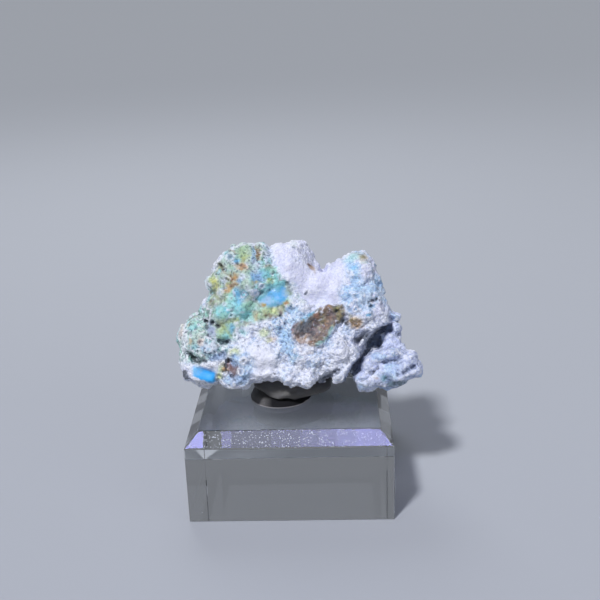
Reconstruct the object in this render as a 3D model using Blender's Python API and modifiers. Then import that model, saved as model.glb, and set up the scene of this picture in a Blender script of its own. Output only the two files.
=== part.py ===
"""Raw gibbsite: a lumpy mineral specimen pressed onto a pad of putty on a clear display block.

Row frame: metres, +Z up, origin at the middle of the block's underside, front of the block at -Y.
The stone is modelled in a frame of its own, in millimetres: X across its face, Y into it, Z up
along it. The face leans back, as the stone was set down in the putty.
"""

import math
import random

import bmesh
import bpy
from mathutils import Matrix, Vector

MM = 0.001
GAP = 0.3  # clearance between pieces that touch, mm

# Display block, mm
BLOCK_WIDTH = 50.0
BLOCK_DEPTH = 50.0
BLOCK_HEIGHT = 23.2
BLOCK_BEVEL = 3.2

# Mounting putty, mm: an upper roll that the stone sits in, on a smaller squashed ball
PUTTY_TOP_ROLL = {"centre": (-0.4, -1.2, 4.4), "radii": (10.0, 9.4, 3.1), "slope": -4.0}
PUTTY_LOW_ROLL = {"centre": (-2.6, -3.8, 1.3), "radii": (7.6, 7.5, 2.3), "slope": 0.0}
PUTTY_VOXEL = 0.5
PUTTY_TRIANGLES = 700

# How the stone sits on the putty
STONE_ORIGIN = (2.7, -14.0, 29.9)  # mm, in the row frame
STONE_TURN = math.radians(2.2)
STONE_LEAN = math.radians(-20.0)
STONE_ROLL = math.radians(1.9)
STONE_TRIANGLES = 8600
STONE_VOXEL = 0.6

# The lumps that the stone grew from: centre (across, depth, up), radii (across, depth, up), mm
MASSES = {
    "core": ((-3.0, 12.0, 16.0), (23.5, 11.6, 13.6)),
    "left_crown": ((-13.2, 9.0, 26.2), (9.0, 9.5, 9.9)),
    "crown_corner": ((-16.9, 8.0, 31.9), (2.2, 4.0, 2.4)),
    "middle_crown": ((-2.2, 9.5, 27.2), (7.0, 9.0, 9.6)),
    "saddle": ((8.3, 8.0, 24.0), (5.2, 7.5, 6.2)),
    "smooth_face": ((4.2, 8.2, 24.8), (6.6, 7.5, 5.6)),
    "smooth_face_low": ((6.5, 8.4, 20.8), (6.4, 7.6, 4.6)),
    "peak": ((14.4, 9.0, 27.6), (4.6, 6.5, 6.8)),
    "peak_root": ((12.9, 9.5, 21.5), (8.1, 9.0, 8.4)),
    "left_slope": ((-18.4, 9.5, 18.8), (6.3, 9.0, 5.6)),
    "left_shoulder": ((-23.7, 9.0, 11.4), (7.0, 8.0, 6.9)),
    "left_foot": ((-23.9, 6.5, 5.6), (5.9, 6.5, 5.1)),
    "near_foot": ((-15.2, 5.0, 5.9), (5.4, 6.6, 5.8)),
    "apron": ((-8.2, 6.0, 8.0), (6.6, 7.6, 6.6)),
    "left_waist": ((-13.8, 9.0, 20.6), (8.2, 9.0, 5.6)),
    "middle_waist": ((-1.5, 9.0, 20.6), (8.0, 8.4, 5.4)),
    "belly": ((1.8, 5.8, 8.2), (8.8, 7.8, 7.5)),
    "belly_side": ((9.6, 5.2, 8.0), (5.4, 7.2, 5.0)),
    "right_shoulder": ((16.4, 8.5, 18.0), (5.7, 7.5, 4.8)),
    "right_lobe": ((22.6, 6.5, 5.3), (6.8, 6.6, 5.0)),
    "lobe_root": ((17.3, 6.0, 4.0), (4.4, 6.0, 4.1)),
    "right_wall": ((21.2, 11.5, 14.6), (3.4, 4.4, 5.2)),
    "right_back": ((18.4, 15.0, 13.0), (5.0, 4.5, 6.4)),
    "back_hump": ((-2.0, 20.0, 15.0), (17.0, 7.0, 9.5)),
    "back_ledge": ((12.0, 15.0, 13.0), (10.0, 8.5, 7.5)),
    "back_foot": ((-14.0, 17.0, 12.0), (10.0, 8.0, 7.0)),
}

# Knobs that stand out in the outline or on the face: centre (across, depth, up), radius, mm
KNOBS = (
    ((23.0, 9.0, 16.9), 1.8),
    ((23.4, 9.0, 14.9), 1.4),
    ((22.9, 8.5, 12.4), 2.1),
    ((21.6, 8.5, 10.9), 1.3),
    ((20.6, 7.0, 19.6), 1.5),
    ((18.0, 7.5, 26.4), 2.1),
    ((6.8, 7.0, 29.1), 1.3),
    ((9.4, 7.0, 29.9), 1.7),
    ((28.3, 4.4, 4.2), 1.7),
    ((26.6, 3.6, 7.8), 2.0),
    ((22.6, 2.2, 8.2), 1.9),
    ((24.4, 1.6, 5.7), 1.7),
    ((20.0, 1.8, 7.5), 1.8),
    ((25.8, 2.2, 3.2), 1.3),
    ((17.9, 2.0, 9.6), 1.0),
    ((9.4, 1.0, 2.9), 1.5),
    ((-21.9, 6.5, 26.2), 1.9),
    ((-20.9, 7.0, 29.0), 1.4),
    ((-8.8, 7.0, 34.2), 1.7),
    ((-5.2, 8.0, 34.8), 1.7),
    ((-28.6, 8.0, 10.2), 1.7),
    ((-27.9, 6.0, 4.2), 1.3),
    ((-24.4, 8.5, 17.0), 1.6),
    ((2.8, 8.0, 30.6), 1.5),
    ((-0.9, 9.0, 35.6), 1.6),
)

# The lower edge of the face: centre (across, depth, up) and radius of its lobes, mm
HEM = (
    ((-26.4, 3.6, 4.9), 2.4),
    ((-22.4, 2.6, 4.0), 2.4),
    ((-18.8, 2.2, 3.4), 2.3),
    ((-14.6, 1.6, 2.6), 2.3),
    ((-10.6, 1.4, 4.1), 2.4),
    ((-6.8, 1.2, 4.4), 2.3),
    ((-2.8, 0.6, 3.4), 2.5),
    ((1.2, 0.4, 2.8), 2.5),
    ((15.6, 2.0, 1.9), 2.2),
    ((19.4, 2.2, 2.8), 2.3),
    ((23.4, 2.6, 3.4), 2.4),
)

# The crust: small knobs scattered over the whole stone, but for its smooth patches
CRUST_SEED = 11
CRUST_KNOBS = 900
CRUST_RADII = (0.9, 1.9)
CLOUD_SIZE = 5.0
CLOUD_RELIEF = 1.5
CRUST_SINK = 0.3  # share of a knob's radius by which its centre lies under the surface

# Patches of the face that stay smooth: centre (across, up), radii, slope in degrees
SMOOTH_PATCHES = (
    ((4.2, 26.0), (7.0, 5.4), -35.0),
    ((2.5, 30.5), (6.5, 2.6), -25.0),
    ((-6.2, 22.6), (5.0, 3.0), 22.0),
    ((4.6, 15.4), (7.6, 4.0), 38.0),
    ((-23.2, 3.6), (3.6, 2.4), -6.0),
)

# Hollows: an outline on the face (across, up), and the depths between which it is cut, mm
CREVICE = {
    "outline": (
        (21.6, 15.8), (19.8, 15.4), (17.6, 14.0), (16.3, 12.0), (15.8, 9.9),
        (14.3, 7.4), (12.6, 5.4), (11.5, 3.6), (11.0, 0.8), (12.8, 0.4),
        (13.3, 2.8), (14.8, 4.8), (16.0, 7.2), (17.4, 9.1), (20.4, 10.0),
        (20.8, 12.0), (21.6, 13.9),
    ),
    "depths": (-6.0, 9.0),
}
SIDE_CREVICE = {
    "outline": ((12.4, 12.9), (13.6, 11.0), (14.8, 11.2), (17.0, 14.4), (14.6, 13.6)),
    "depths": (-6.0, 4.6),
}
BELLY_WEDGE = {
    "outline": (
        (9.8, 5.1), (7.6, 4.2), (5.2, 3.4), (2.4, 1.0),
        (4.6, -3.0), (7.6, -1.4), (7.8, 2.2),
    ),
    "depths": (-8.0, 6.4),
}
SADDLE_NOTCH = {
    "outline": ((4.9, 32.4), (6.6, 32.4), (5.9, 29.2)),
    "depths": (-4.0, 18.0),
}
LEFT_NOTCH = {
    "outline": ((-20.4, 12.6), (-19.2, 10.8), (-17.6, 10.9), (-15.4, 11.2), (-16.6, 12.2)),
    "depths": (-6.0, 4.2),
}
CROWN_NOTCH = {
    "outline": ((-25.6, 24.8), (-22.2, 23.9), (-25.6, 23.0)),
    "depths": (-4.0, 16.0),
}

# Rounded pockets: centre (across, depth, up), radii (along, depth, across), slope in degrees
POCKETS = (
    ((4.4, -1.2, 15.4), (7.0, 4.6, 3.2), 38.0),
    ((-6.0, -1.0, 22.6), (4.3, 3.4, 2.3), 22.0),
    ((-17.0, -1.4, 5.4), (1.6, 3.4, 3.0), 20.0),
    ((-26.0, 1.6, 7.6), (2.6, 2.6, 0.9), -32.0),
    ((-20.2, 0.4, 8.2), (2.7, 2.2, 0.9), 20.0),
    ((-23.2, -1.6, 3.4), (3.0, 3.8, 1.8), -6.0),
)


def clear_scene():
    for thing in list(bpy.data.objects):
        bpy.data.objects.remove(thing)


def new_collection(name):
    made = bpy.data.collections.new(name)
    bpy.context.scene.collection.children.link(made)
    return made


def material(name, colour, roughness, **inputs):
    made = bpy.data.materials.new(name)
    made.use_nodes = True
    shader = made.node_tree.nodes["Principled BSDF"]
    shader.inputs["Base Color"].default_value = (*colour, 1.0)
    shader.inputs["Roughness"].default_value = roughness
    shader.inputs["Metallic"].default_value = 0.0
    for key, value in inputs.items():
        shader.inputs[key.replace("_", " ")].default_value = value
    return made


def move_to(thing, collection):
    for old in list(thing.users_collection):
        old.objects.unlink(thing)
    collection.objects.link(thing)
    return thing


def as_cutter(thing, collection):
    thing.hide_render = True
    thing.display_type = "WIRE"
    return move_to(thing, collection)


def ellipsoid(name, centre, radii, slope=0.0, detail=3):
    """An ico sphere stretched to these radii and sloped about the depth axis, placed in its mesh."""
    bpy.ops.mesh.primitive_ico_sphere_add(subdivisions=detail, radius=1.0)
    thing = bpy.context.object
    thing.name = name
    place = Matrix.Translation(Vector(centre) * MM)
    turn = Matrix.Rotation(-math.radians(slope), 4, "Y")
    stretch = Matrix.Diagonal((*(r * MM for r in radii), 1.0))
    thing.data.transform(place @ turn @ stretch)
    return thing


def joined(name, things):
    bpy.ops.object.select_all(action="DESELECT")
    for thing in things:
        thing.select_set(True)
    bpy.context.view_layer.objects.active = things[0]
    bpy.ops.object.join()
    things[0].name = name
    return things[0]


def remesh(thing, voxel):
    step = thing.modifiers.new("Remesh", "REMESH")
    step.mode = "VOXEL"
    step.voxel_size = voxel * MM


def smooth(thing, times):
    step = thing.modifiers.new("Smooth", "SMOOTH")
    step.factor = 0.5
    step.iterations = times


def cut(thing, cutter):
    step = thing.modifiers.new("Cut " + cutter.name, "BOOLEAN")
    step.operation = "DIFFERENCE"
    step.object = cutter


def thin(thing, triangles):
    """Leaves about this many triangles, fewest where the surface is plain."""
    step = thing.modifiers.new("Thin", "DECIMATE")
    bpy.context.view_layer.update()
    graph = bpy.context.evaluated_depsgraph_get()
    full = thing.evaluated_get(graph).data
    full.calc_loop_triangles()
    step.ratio = min(1.0, triangles / len(full.loop_triangles))


def roughen(thing, size, strength):
    """Pushes the surface in and out along its normals by clouds of this size."""
    clouds = bpy.data.textures.new("crust clouds", "CLOUDS")
    clouds.noise_scale = size * MM
    step = thing.modifiers.new("Roughen", "DISPLACE")
    step.texture = clouds
    step.texture_coords = "LOCAL"
    step.strength = strength * MM


def make_block(finish, collection):
    """A cube with its top face drawn in, which leaves the wide bevel round it."""
    side = BLOCK_HEIGHT - BLOCK_BEVEL
    bpy.ops.mesh.primitive_cube_add(size=1.0)
    block = move_to(bpy.context.object, collection)
    block.name = "display_block"
    size = Matrix.Diagonal((BLOCK_WIDTH * MM, BLOCK_DEPTH * MM, side * MM, 1.0))
    block.data.transform(Matrix.Translation((0, 0, side / 2 * MM)) @ size)
    mesh = bmesh.new()
    mesh.from_mesh(block.data)
    top = max(mesh.faces, key=lambda face: face.calc_center_median().z)
    raised = bmesh.ops.extrude_discrete_faces(mesh, faces=[top])["faces"][0]
    shrink = Matrix.Diagonal((
        1 - 2 * BLOCK_BEVEL / BLOCK_WIDTH,
        1 - 2 * BLOCK_BEVEL / BLOCK_DEPTH,
        1.0,
    ))
    for corner in raised.verts:
        corner.co = shrink @ corner.co
        corner.co.z += BLOCK_BEVEL * MM
    mesh.to_mesh(block.data)
    mesh.free()
    block.data.materials.append(finish)
    return block


def putty_rolls(name, grow):
    """The two rolls of putty, standing on the block and grown by a clearance."""
    rolls = []
    for roll in (PUTTY_TOP_ROLL, PUTTY_LOW_ROLL):
        x, y, z = roll["centre"]
        radii = [r + grow for r in roll["radii"]]
        rolls.append(ellipsoid(name, (x, y, z + BLOCK_HEIGHT), radii, roll["slope"]))
    return joined(name, rolls)


def make_putty(finish, collection, cutters):
    putty = move_to(putty_rolls("mounting_putty", 0.0), collection)
    remesh(putty, PUTTY_VOXEL)
    smooth(putty, 2)
    thin(putty, PUTTY_TRIANGLES)
    bpy.ops.mesh.primitive_cube_add(size=1.0)
    below = bpy.context.object
    below.name = "block_space"
    reach = BLOCK_HEIGHT + GAP
    below.data.transform(
        Matrix.Translation((0, 0, reach / 2 * MM))
        @ Matrix.Diagonal((BLOCK_WIDTH * MM, BLOCK_DEPTH * MM, reach * MM, 1.0))
    )
    cut(putty, as_cutter(below, cutters))
    putty.data.materials.append(finish)
    return putty


def outline_cutter(name, hollow):
    """A flat outline on the face, extruded into the stone, as a closed mesh."""
    near, far = hollow["depths"]
    flat = bpy.data.curves.new(name, "CURVE")
    flat.dimensions = "2D"
    flat.fill_mode = "BOTH"
    flat.extrude = (far - near) / 2 * MM
    line = flat.splines.new("POLY")
    line.points.add(len(hollow["outline"]) - 1)
    for point, (across, up) in zip(line.points, hollow["outline"]):
        point.co = (across * MM, up * MM, 0.0, 1.0)
    line.use_cyclic_u = True
    drawn = bpy.data.objects.new(name, flat)
    bpy.context.scene.collection.objects.link(drawn)
    bpy.context.view_layer.update()
    graph = bpy.context.evaluated_depsgraph_get()
    body = bpy.data.meshes.new_from_object(drawn.evaluated_get(graph))
    bpy.data.objects.remove(drawn)
    mesh = bmesh.new()
    mesh.from_mesh(body)
    bmesh.ops.remove_doubles(mesh, verts=mesh.verts, dist=0.01 * MM)
    # The outline was drawn flat, so it is stood up and set at its depth.
    stand = Matrix.Rotation(math.radians(90), 4, "X")
    mesh.transform(Matrix.Translation((0, (near + far) / 2 * MM, 0)) @ stand)
    bmesh.ops.recalc_face_normals(mesh, faces=mesh.faces)
    mesh.to_mesh(body)
    mesh.free()
    return bpy.data.objects.new(name, body)


def in_smooth_patch(across, up):
    """Whether a point of the face lies in one of the ellipses of SMOOTH_PATCHES."""
    for (x, z), (long, short), slope in SMOOTH_PATCHES:
        turn = math.radians(slope)
        along = (across - x) * math.cos(turn) + (up - z) * math.sin(turn)
        over = (up - z) * math.cos(turn) - (across - x) * math.sin(turn)
        if (along / long) ** 2 + (over / short) ** 2 < 1.0:
            return True
    return False


def crust_knobs(body):
    """Small spheres sunk in the surface of this body, at random places on it."""
    bpy.context.view_layer.update()
    graph = bpy.context.evaluated_depsgraph_get()
    faces = body.evaluated_get(graph).data.polygons
    chance = random.Random(CRUST_SEED)
    areas = [face.area for face in faces]
    knobs = []
    for index in chance.choices(range(len(areas)), areas, k=CRUST_KNOBS):
        centre = faces[index].center / MM
        normal = faces[index].normal
        radius = chance.uniform(*CRUST_RADII)
        if normal.y < 0 and in_smooth_patch(centre.x, centre.z):
            continue
        knobs.append((centre - normal * radius * CRUST_SINK, radius))
    return knobs


def make_stone(finish, collection, cutters):
    seat = bpy.data.objects.new("stone_seat", None)
    seat.matrix_world = (
        Matrix.Translation(Vector(STONE_ORIGIN) * MM)
        @ Matrix.Rotation(STONE_TURN, 4, "Z")
        @ Matrix.Rotation(STONE_LEAN, 4, "X")
        @ Matrix.Rotation(STONE_ROLL, 4, "Y")
    )
    collection.objects.link(seat)
    lumps = []
    for name, (centre, radii) in MASSES.items():
        lumps.append(ellipsoid(name, centre, radii))
    for centre, radius in (*KNOBS, *HEM):
        lumps.append(ellipsoid("knob", centre, (radius,) * 3, detail=2))
    stone = move_to(joined("gibbsite", lumps), collection)
    remesh(stone, STONE_VOXEL)
    crust = [
        ellipsoid("crust", centre, (radius,) * 3, detail=2)
        for centre, radius in crust_knobs(stone)
    ]
    stone = joined("gibbsite", [stone, *crust])
    stone.parent = seat
    hollows = [
        outline_cutter("crevice", CREVICE),
        outline_cutter("side_crevice", SIDE_CREVICE),
        outline_cutter("belly_wedge", BELLY_WEDGE),
        outline_cutter("saddle_notch", SADDLE_NOTCH),
        outline_cutter("left_notch", LEFT_NOTCH),
        outline_cutter("crown_notch", CROWN_NOTCH),
    ]
    hollows += [ellipsoid("pocket", *sizes) for sizes in POCKETS]
    for hollow in hollows:
        as_cutter(hollow, cutters).parent = seat
        cut(stone, hollow)
    remesh(stone, STONE_VOXEL)
    smooth(stone, 1)
    roughen(stone, CLOUD_SIZE, CLOUD_RELIEF)
    thin(stone, STONE_TRIANGLES)
    cut(stone, as_cutter(putty_rolls("putty_space", GAP), cutters))
    stone.data.materials.clear()
    stone.data.materials.append(finish)
    return stone


def main():
    clear_scene()
    model = new_collection("gibbsite_specimen")
    cutters = new_collection("cutters")
    clear = material("clear_acrylic", (0.95, 0.96, 1.0), 0.03, Transmission_Weight=1.0, IOR=1.49)
    putty = material("grey_putty", (0.5, 0.5, 0.48), 0.6)
    crust = material("gibbsite_crust", (0.78, 0.8, 0.9), 0.75)
    make_block(clear, model)
    make_putty(putty, model, cutters)
    make_stone(crust, model, cutters)


main()
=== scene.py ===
# %% [markdown]
# # Raw gibbsite on its display block
#
# A lump of raw gibbsite stands on a clear acrylic block, held by a pad of grey putty. This lesson
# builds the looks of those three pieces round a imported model, which is the fixed frame: it says
# where each piece is and how big it is. The scene is in metres, +Z up, and the front is at -Y. Small
# places and sizes are given in millimetres, and MM turns them into metres.

# %% Load the frame
import math

import bpy
import numpy as np
from mathutils import Matrix, Vector
from mathutils.bvhtree import BVHTree


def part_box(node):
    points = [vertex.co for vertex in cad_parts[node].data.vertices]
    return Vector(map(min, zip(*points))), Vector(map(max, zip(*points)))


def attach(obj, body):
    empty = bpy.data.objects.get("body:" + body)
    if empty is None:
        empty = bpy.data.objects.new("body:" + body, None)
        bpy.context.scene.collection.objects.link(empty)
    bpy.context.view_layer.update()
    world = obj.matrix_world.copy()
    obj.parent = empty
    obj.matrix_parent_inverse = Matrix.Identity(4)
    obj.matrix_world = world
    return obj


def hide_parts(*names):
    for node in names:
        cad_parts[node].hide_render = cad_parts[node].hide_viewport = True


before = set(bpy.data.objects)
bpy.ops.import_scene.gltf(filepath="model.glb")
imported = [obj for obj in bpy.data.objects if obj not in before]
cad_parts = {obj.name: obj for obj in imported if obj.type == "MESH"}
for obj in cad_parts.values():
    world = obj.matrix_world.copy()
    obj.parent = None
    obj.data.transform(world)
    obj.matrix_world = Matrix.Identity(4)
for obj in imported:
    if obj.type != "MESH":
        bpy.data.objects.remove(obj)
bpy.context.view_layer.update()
MM = 0.001
print("nodes:", ", ".join(sorted(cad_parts)))

# %% [markdown]
# ## The camera
#
# The camera stands a little above the stone and looks down by 20 degrees. It comes first, because
# the stone's features are placed as it sees them. It could follow a target, but its place and turns
# were fitted to the corners of the 50 mm block, so one move and three turns say exactly where it is.

# %% Camera
LENS = 57.6  # mm, on a frame 36 mm wide
CAMERA_PLACE = (0.01146, -0.2264, 0.13058)
CAMERA_TURN = math.radians(2.17)
CAMERA_DOWN = math.radians(20.0)
CAMERA_ROLL = math.radians(-1.91)

camera_data = bpy.data.cameras.new("camera")
camera_data.lens = LENS
camera_data.sensor_width = 36.0
camera_data.clip_start = 0.005
camera = bpy.data.objects.new("camera", camera_data)
bpy.context.scene.collection.objects.link(camera)
camera.matrix_world = (
    Matrix.Translation(CAMERA_PLACE)
    @ Matrix.Rotation(CAMERA_TURN, 4, "Z")
    @ Matrix.Rotation(math.radians(90) - CAMERA_DOWN, 4, "X")
    @ Matrix.Rotation(CAMERA_ROLL, 4, "Z")
)
bpy.context.scene.camera = camera
print("camera:", LENS, "mm lens, at", CAMERA_PLACE)

# %% [markdown]
# ## The stone's own frame
#
# The stone's broken face leans back by the same 20 degrees, so numbers in the upright frame would be
# hard to place on it. It gets a frame of its own, in millimetres: X across the face, Y into it and Z
# up along it, with the origin low on the face. Two matrices lead into that frame and out of it.

# %% The stone's frame
STONE_ORIGIN = (0.0027, -0.0140, 0.0299)
STONE_TURN = math.radians(2.2)
STONE_LEAN = math.radians(-20.0)
STONE_ROLL = math.radians(1.9)
EYE = (0.0, -234.2, 22.0)  # the camera's place in the stone's frame, mm

stone_seat = (
    Matrix.Translation(STONE_ORIGIN)
    @ Matrix.Rotation(STONE_TURN, 4, "Z")
    @ Matrix.Rotation(STONE_LEAN, 4, "X")
    @ Matrix.Rotation(STONE_ROLL, 4, "Y")
    @ Matrix.Scale(MM, 4)
)
to_stone = np.array(stone_seat.inverted())
from_stone = np.array(stone_seat)
eye_now = stone_seat.inverted() @ camera.location
print("camera in the stone's frame, mm:", [round(value, 1) for value in eye_now])

# %% [markdown]
# ## The stone's body
#
# Operators act on whatever is selected, so one helper makes a piece the only selected one. A second
# adds a modifier, sets it and applies it at once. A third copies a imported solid: its triangles come
# in loose, so the copy's doubles are merged before anything else is done to it. A fourth counts
# triangles, because a piece has to stay under 200,000 of them.

# %% Helpers for objects and modifiers
def only(piece):
    bpy.ops.object.select_all(action="DESELECT")
    piece.select_set(True)
    bpy.context.view_layer.objects.active = piece
    return piece


def modify(piece, kind, **settings):
    only(piece)
    step = piece.modifiers.new(kind.title(), kind)
    for key, value in settings.items():
        setattr(step, key, value)
    bpy.ops.object.modifier_apply(modifier=step.name)


def copy_of(node, name):
    piece = bpy.data.objects.new(name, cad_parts[node].data.copy())
    bpy.context.scene.collection.objects.link(piece)
    piece.data.materials.clear()
    only(piece)
    bpy.ops.mesh.customdata_custom_splitnormals_clear()
    bpy.ops.object.mode_set(mode="EDIT")
    bpy.ops.mesh.select_all(action="SELECT")
    bpy.ops.mesh.remove_doubles(threshold=0.01 * MM)
    bpy.ops.object.mode_set(mode="OBJECT")
    return piece


def triangles(piece):
    piece.data.calc_loop_triangles()
    return len(piece.data.loop_triangles)


packed = {name: triangles(node) for name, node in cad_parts.items()}
print("packed triangles:", packed)

# %% [markdown]
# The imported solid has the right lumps, pockets and crevices, in flat triangles more than a
# millimetre long. The shown stone starts as a copy of it. A voxel remesh lays an even net of small
# quads over it, and a few rounds of smoothing take the flat triangles away, which gives a surface
# fine enough to carve.

# %% Copy and remesh the stone
NET = 0.29  # spacing of the stone's net, mm

stone = copy_of("gibbsite", "gibbsite_crust")
modify(stone, "REMESH", mode="VOXEL", voxel_size=NET * MM)
modify(stone, "SMOOTH", factor=0.5, iterations=9)
print("stone:", triangles(stone), "triangles")

# %% [markdown]
# Blender hands the points of a mesh over as one flat list, which numpy takes as an array of three
# columns. Two helpers read and write it as it is, in metres, and two more in the stone's frame, in
# millimetres. All points are then moved in one go, which is far quicker than one by one.

# %% Points of a piece
def mesh_points(piece):
    flat = np.empty(len(piece.data.vertices) * 3)
    piece.data.vertices.foreach_get("co", flat)
    return flat.reshape(-1, 3)


def put_mesh_points(piece, points):
    piece.data.vertices.foreach_set("co", points.ravel())
    piece.data.update()


def points_of(piece):
    """The piece's points in the stone's frame, mm."""
    return mesh_points(piece) @ to_stone[:3, :3].T + to_stone[:3, 3]


def put_points(piece, points):
    put_mesh_points(piece, points @ from_stone[:3, :3].T + from_stone[:3, 3])


lowest, highest = points_of(stone).min(axis=0), points_of(stone).max(axis=0)
print("stone in its frame, mm:", lowest.round(1).tolist(), "to", highest.round(1).tolist())

# %% [markdown]
# Places on the stone are read as the camera sees them: how far across, and how far up, in
# millimetres, on a plane through the stone's origin. `seen_at` gives those two numbers for every
# point. A ray from the camera then tells which points it really sees, so that a mark on the face
# doesn't run through to the back.

# %% Seeing the stone from the front
def seen_at(points):
    """(across, up) of each point in the plane of depth 0, along its line to the camera."""
    share = EYE[1] / (EYE[1] - points[:, 1])
    return np.stack([
        EYE[0] + (points[:, 0] - EYE[0]) * share,
        EYE[2] + (points[:, 2] - EYE[2]) * share,
    ], axis=1)


def depth_hidden(piece):
    """How far behind what the camera sees each point of the piece lies, mm."""
    points = points_of(piece)
    faces = [tuple(face.vertices) for face in piece.data.polygons]
    tree = BVHTree.FromPolygons(points.tolist(), faces)
    eye = Vector(EYE)
    hidden = []
    for point in points:
        way = Vector(point) - eye
        hit = tree.ray_cast(eye, way.normalized())
        hidden.append(way.length - hit[3] if hit[3] else 0.0)
    return np.array(hidden)


def in_view(hidden, near=1.2, far=4.5):
    """1 where the camera sees a point, falling to 0 where it is hidden this deep."""
    return np.clip((far - hidden) / (far - near), 0, 1)


seen = in_view(depth_hidden(stone)).mean()
print(f"the camera sees {seen:.0%} of the stone's points")


# %% [markdown]
# Marks have ragged edges, because crystals grow over them. So each mark is measured at a point that
# noise has pushed a little to one side. A shader's noise isn't at hand while the mesh is carved, so
# this one is written out: chance values on a lattice, blended smoothly in between. The same noise
# lays ragged patches over a share of the surface.

# %% Noise and ragged patches
LATTICE = (127.1, 311.7, 74.7)  # any odd numbers that keep neighbours apart
SCATTER = 43758.5453  # so large that only chance digits are left behind the point


def smoothstep(value):
    value = np.clip(value, 0, 1)
    return value * value * (3 - 2 * value)


def field(points, size_mm, seed):
    """Smooth noise from -1 to 1: chance values on a lattice of this spacing, blended in between."""
    turned = points @ np.array(Matrix.Rotation(0.6 + seed, 3, (1, 2, 3))) / size_mm + 31.7 * seed
    corner = np.floor(turned)
    blend = smoothstep(turned - corner)
    total = np.zeros(len(points))
    for step in np.ndindex(2, 2, 2):
        lattice = (corner + step) @ np.array(LATTICE) + 9.1 * seed
        chance = np.modf(np.abs(np.sin(lattice)) * SCATTER)[0]
        total += chance * np.prod(np.where(step, blend, 1 - blend), axis=1)
    return 2 * total - 1


def ragged(points, size_mm, reach_mm, seed=0.0):
    """Noise pairs for these points, with blotches of this size, up to about this long."""
    parts = [field(points, size_mm, seed + part) for part in (0.37, 1.61)]
    return np.stack(parts, axis=1) * reach_mm


def patches(points, size_mm, share, seed, soft=0.12):
    """Ragged patches of about this size over this share of the surface."""
    height = field(points, size_mm, seed) + 0.5 * field(points, size_mm / 2.7, seed + 0.5)
    edge = np.quantile(height[::7], 1 - share)
    return smoothstep(0.5 + (height - edge) / (2 * soft))


trial = field(points_of(stone), 2.0, 0.0)
print(f"noise from {trial.min():.2f} to {trial.max():.2f}")

# %% [markdown]
# A mark is an ellipse, a line, an outline or a ring, each 1 inside, 0 outside and soft at its edge.
# The same four serve as brushes for carving and for colour, so a pit and the shade painted into it,
# or a pocket and its lining, can't drift apart.

# %% Ellipses, lines, outlines and rings
def ellipse(places, centre, radii, slope=0.0, soft=0.35):
    """1 inside an ellipse on the face, 0 outside, with a soft rim of that share of its radius."""
    turn = math.radians(slope)
    x = places[:, 0] - centre[0]
    y = places[:, 1] - centre[1]
    along = (x * math.cos(turn) + y * math.sin(turn)) / radii[0]
    over = (y * math.cos(turn) - x * math.sin(turn)) / radii[1]
    return smoothstep((1 + soft - np.hypot(along, over)) / (2 * soft))


def gap_to(places, route):
    """How far each place is from a line through these corners."""
    nearest = np.full(len(places), 1e9)
    for start, end in zip(route, route[1:]):
        start, end = np.array(start), np.array(end)
        run = end - start
        share = np.clip((places - start) @ run / (run @ run), 0, 1)
        gap = np.linalg.norm(places - (start + share[:, None] * run), axis=1)
        nearest = np.minimum(nearest, gap)
    return nearest


def line(places, route, width, soft=0.5):
    return smoothstep((1 + soft - gap_to(places, route) / width) / (2 * soft))


def outline(places, corners, soft=0.4):
    """1 inside an outline, 0 outside, with an edge as soft as this many mm."""
    inside = np.zeros(len(places), bool)
    closed = corners + corners[:1]
    x, y = places[:, 0], places[:, 1]
    for (xa, ya), (xb, yb) in zip(closed, closed[1:]):
        if ya == yb:
            continue
        crosses = (y < ya) != (y < yb)
        inside ^= crosses & (x < xa + (y - ya) * (xb - xa) / (yb - ya))
    gap = gap_to(places, closed)
    return smoothstep(0.5 + np.where(inside, gap, -gap) / (2 * soft))


def ring(places, centre, radius):
    """A soft ring of this radius, a third as wide."""
    gap = np.abs(np.linalg.norm(places - np.array(centre), axis=1) - radius)
    return smoothstep(1.3 - gap / (0.33 * radius))


square = ((-1.0, -1.0), (1.0, -1.0), (1.0, 1.0), (-1.0, 1.0))
middle_and_corner = np.array([(0.0, 0.0), (1.0, 1.0)])
print("a square, at its middle and a corner:", outline(middle_and_corner, square).tolist())

# %% [markdown]
# The face has a few zones that differ in how they grew. The crown and the flank below it are glazed
# with colour and lightly crusted, the middle is a smooth powdery sheet, the peak and the waist are
# pale blue, the lobes at the right are round and knobby, and the rest is fine white crust. Their
# outlines are given once, as (across, up) in millimetres, for the crust and for the colour.

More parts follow.
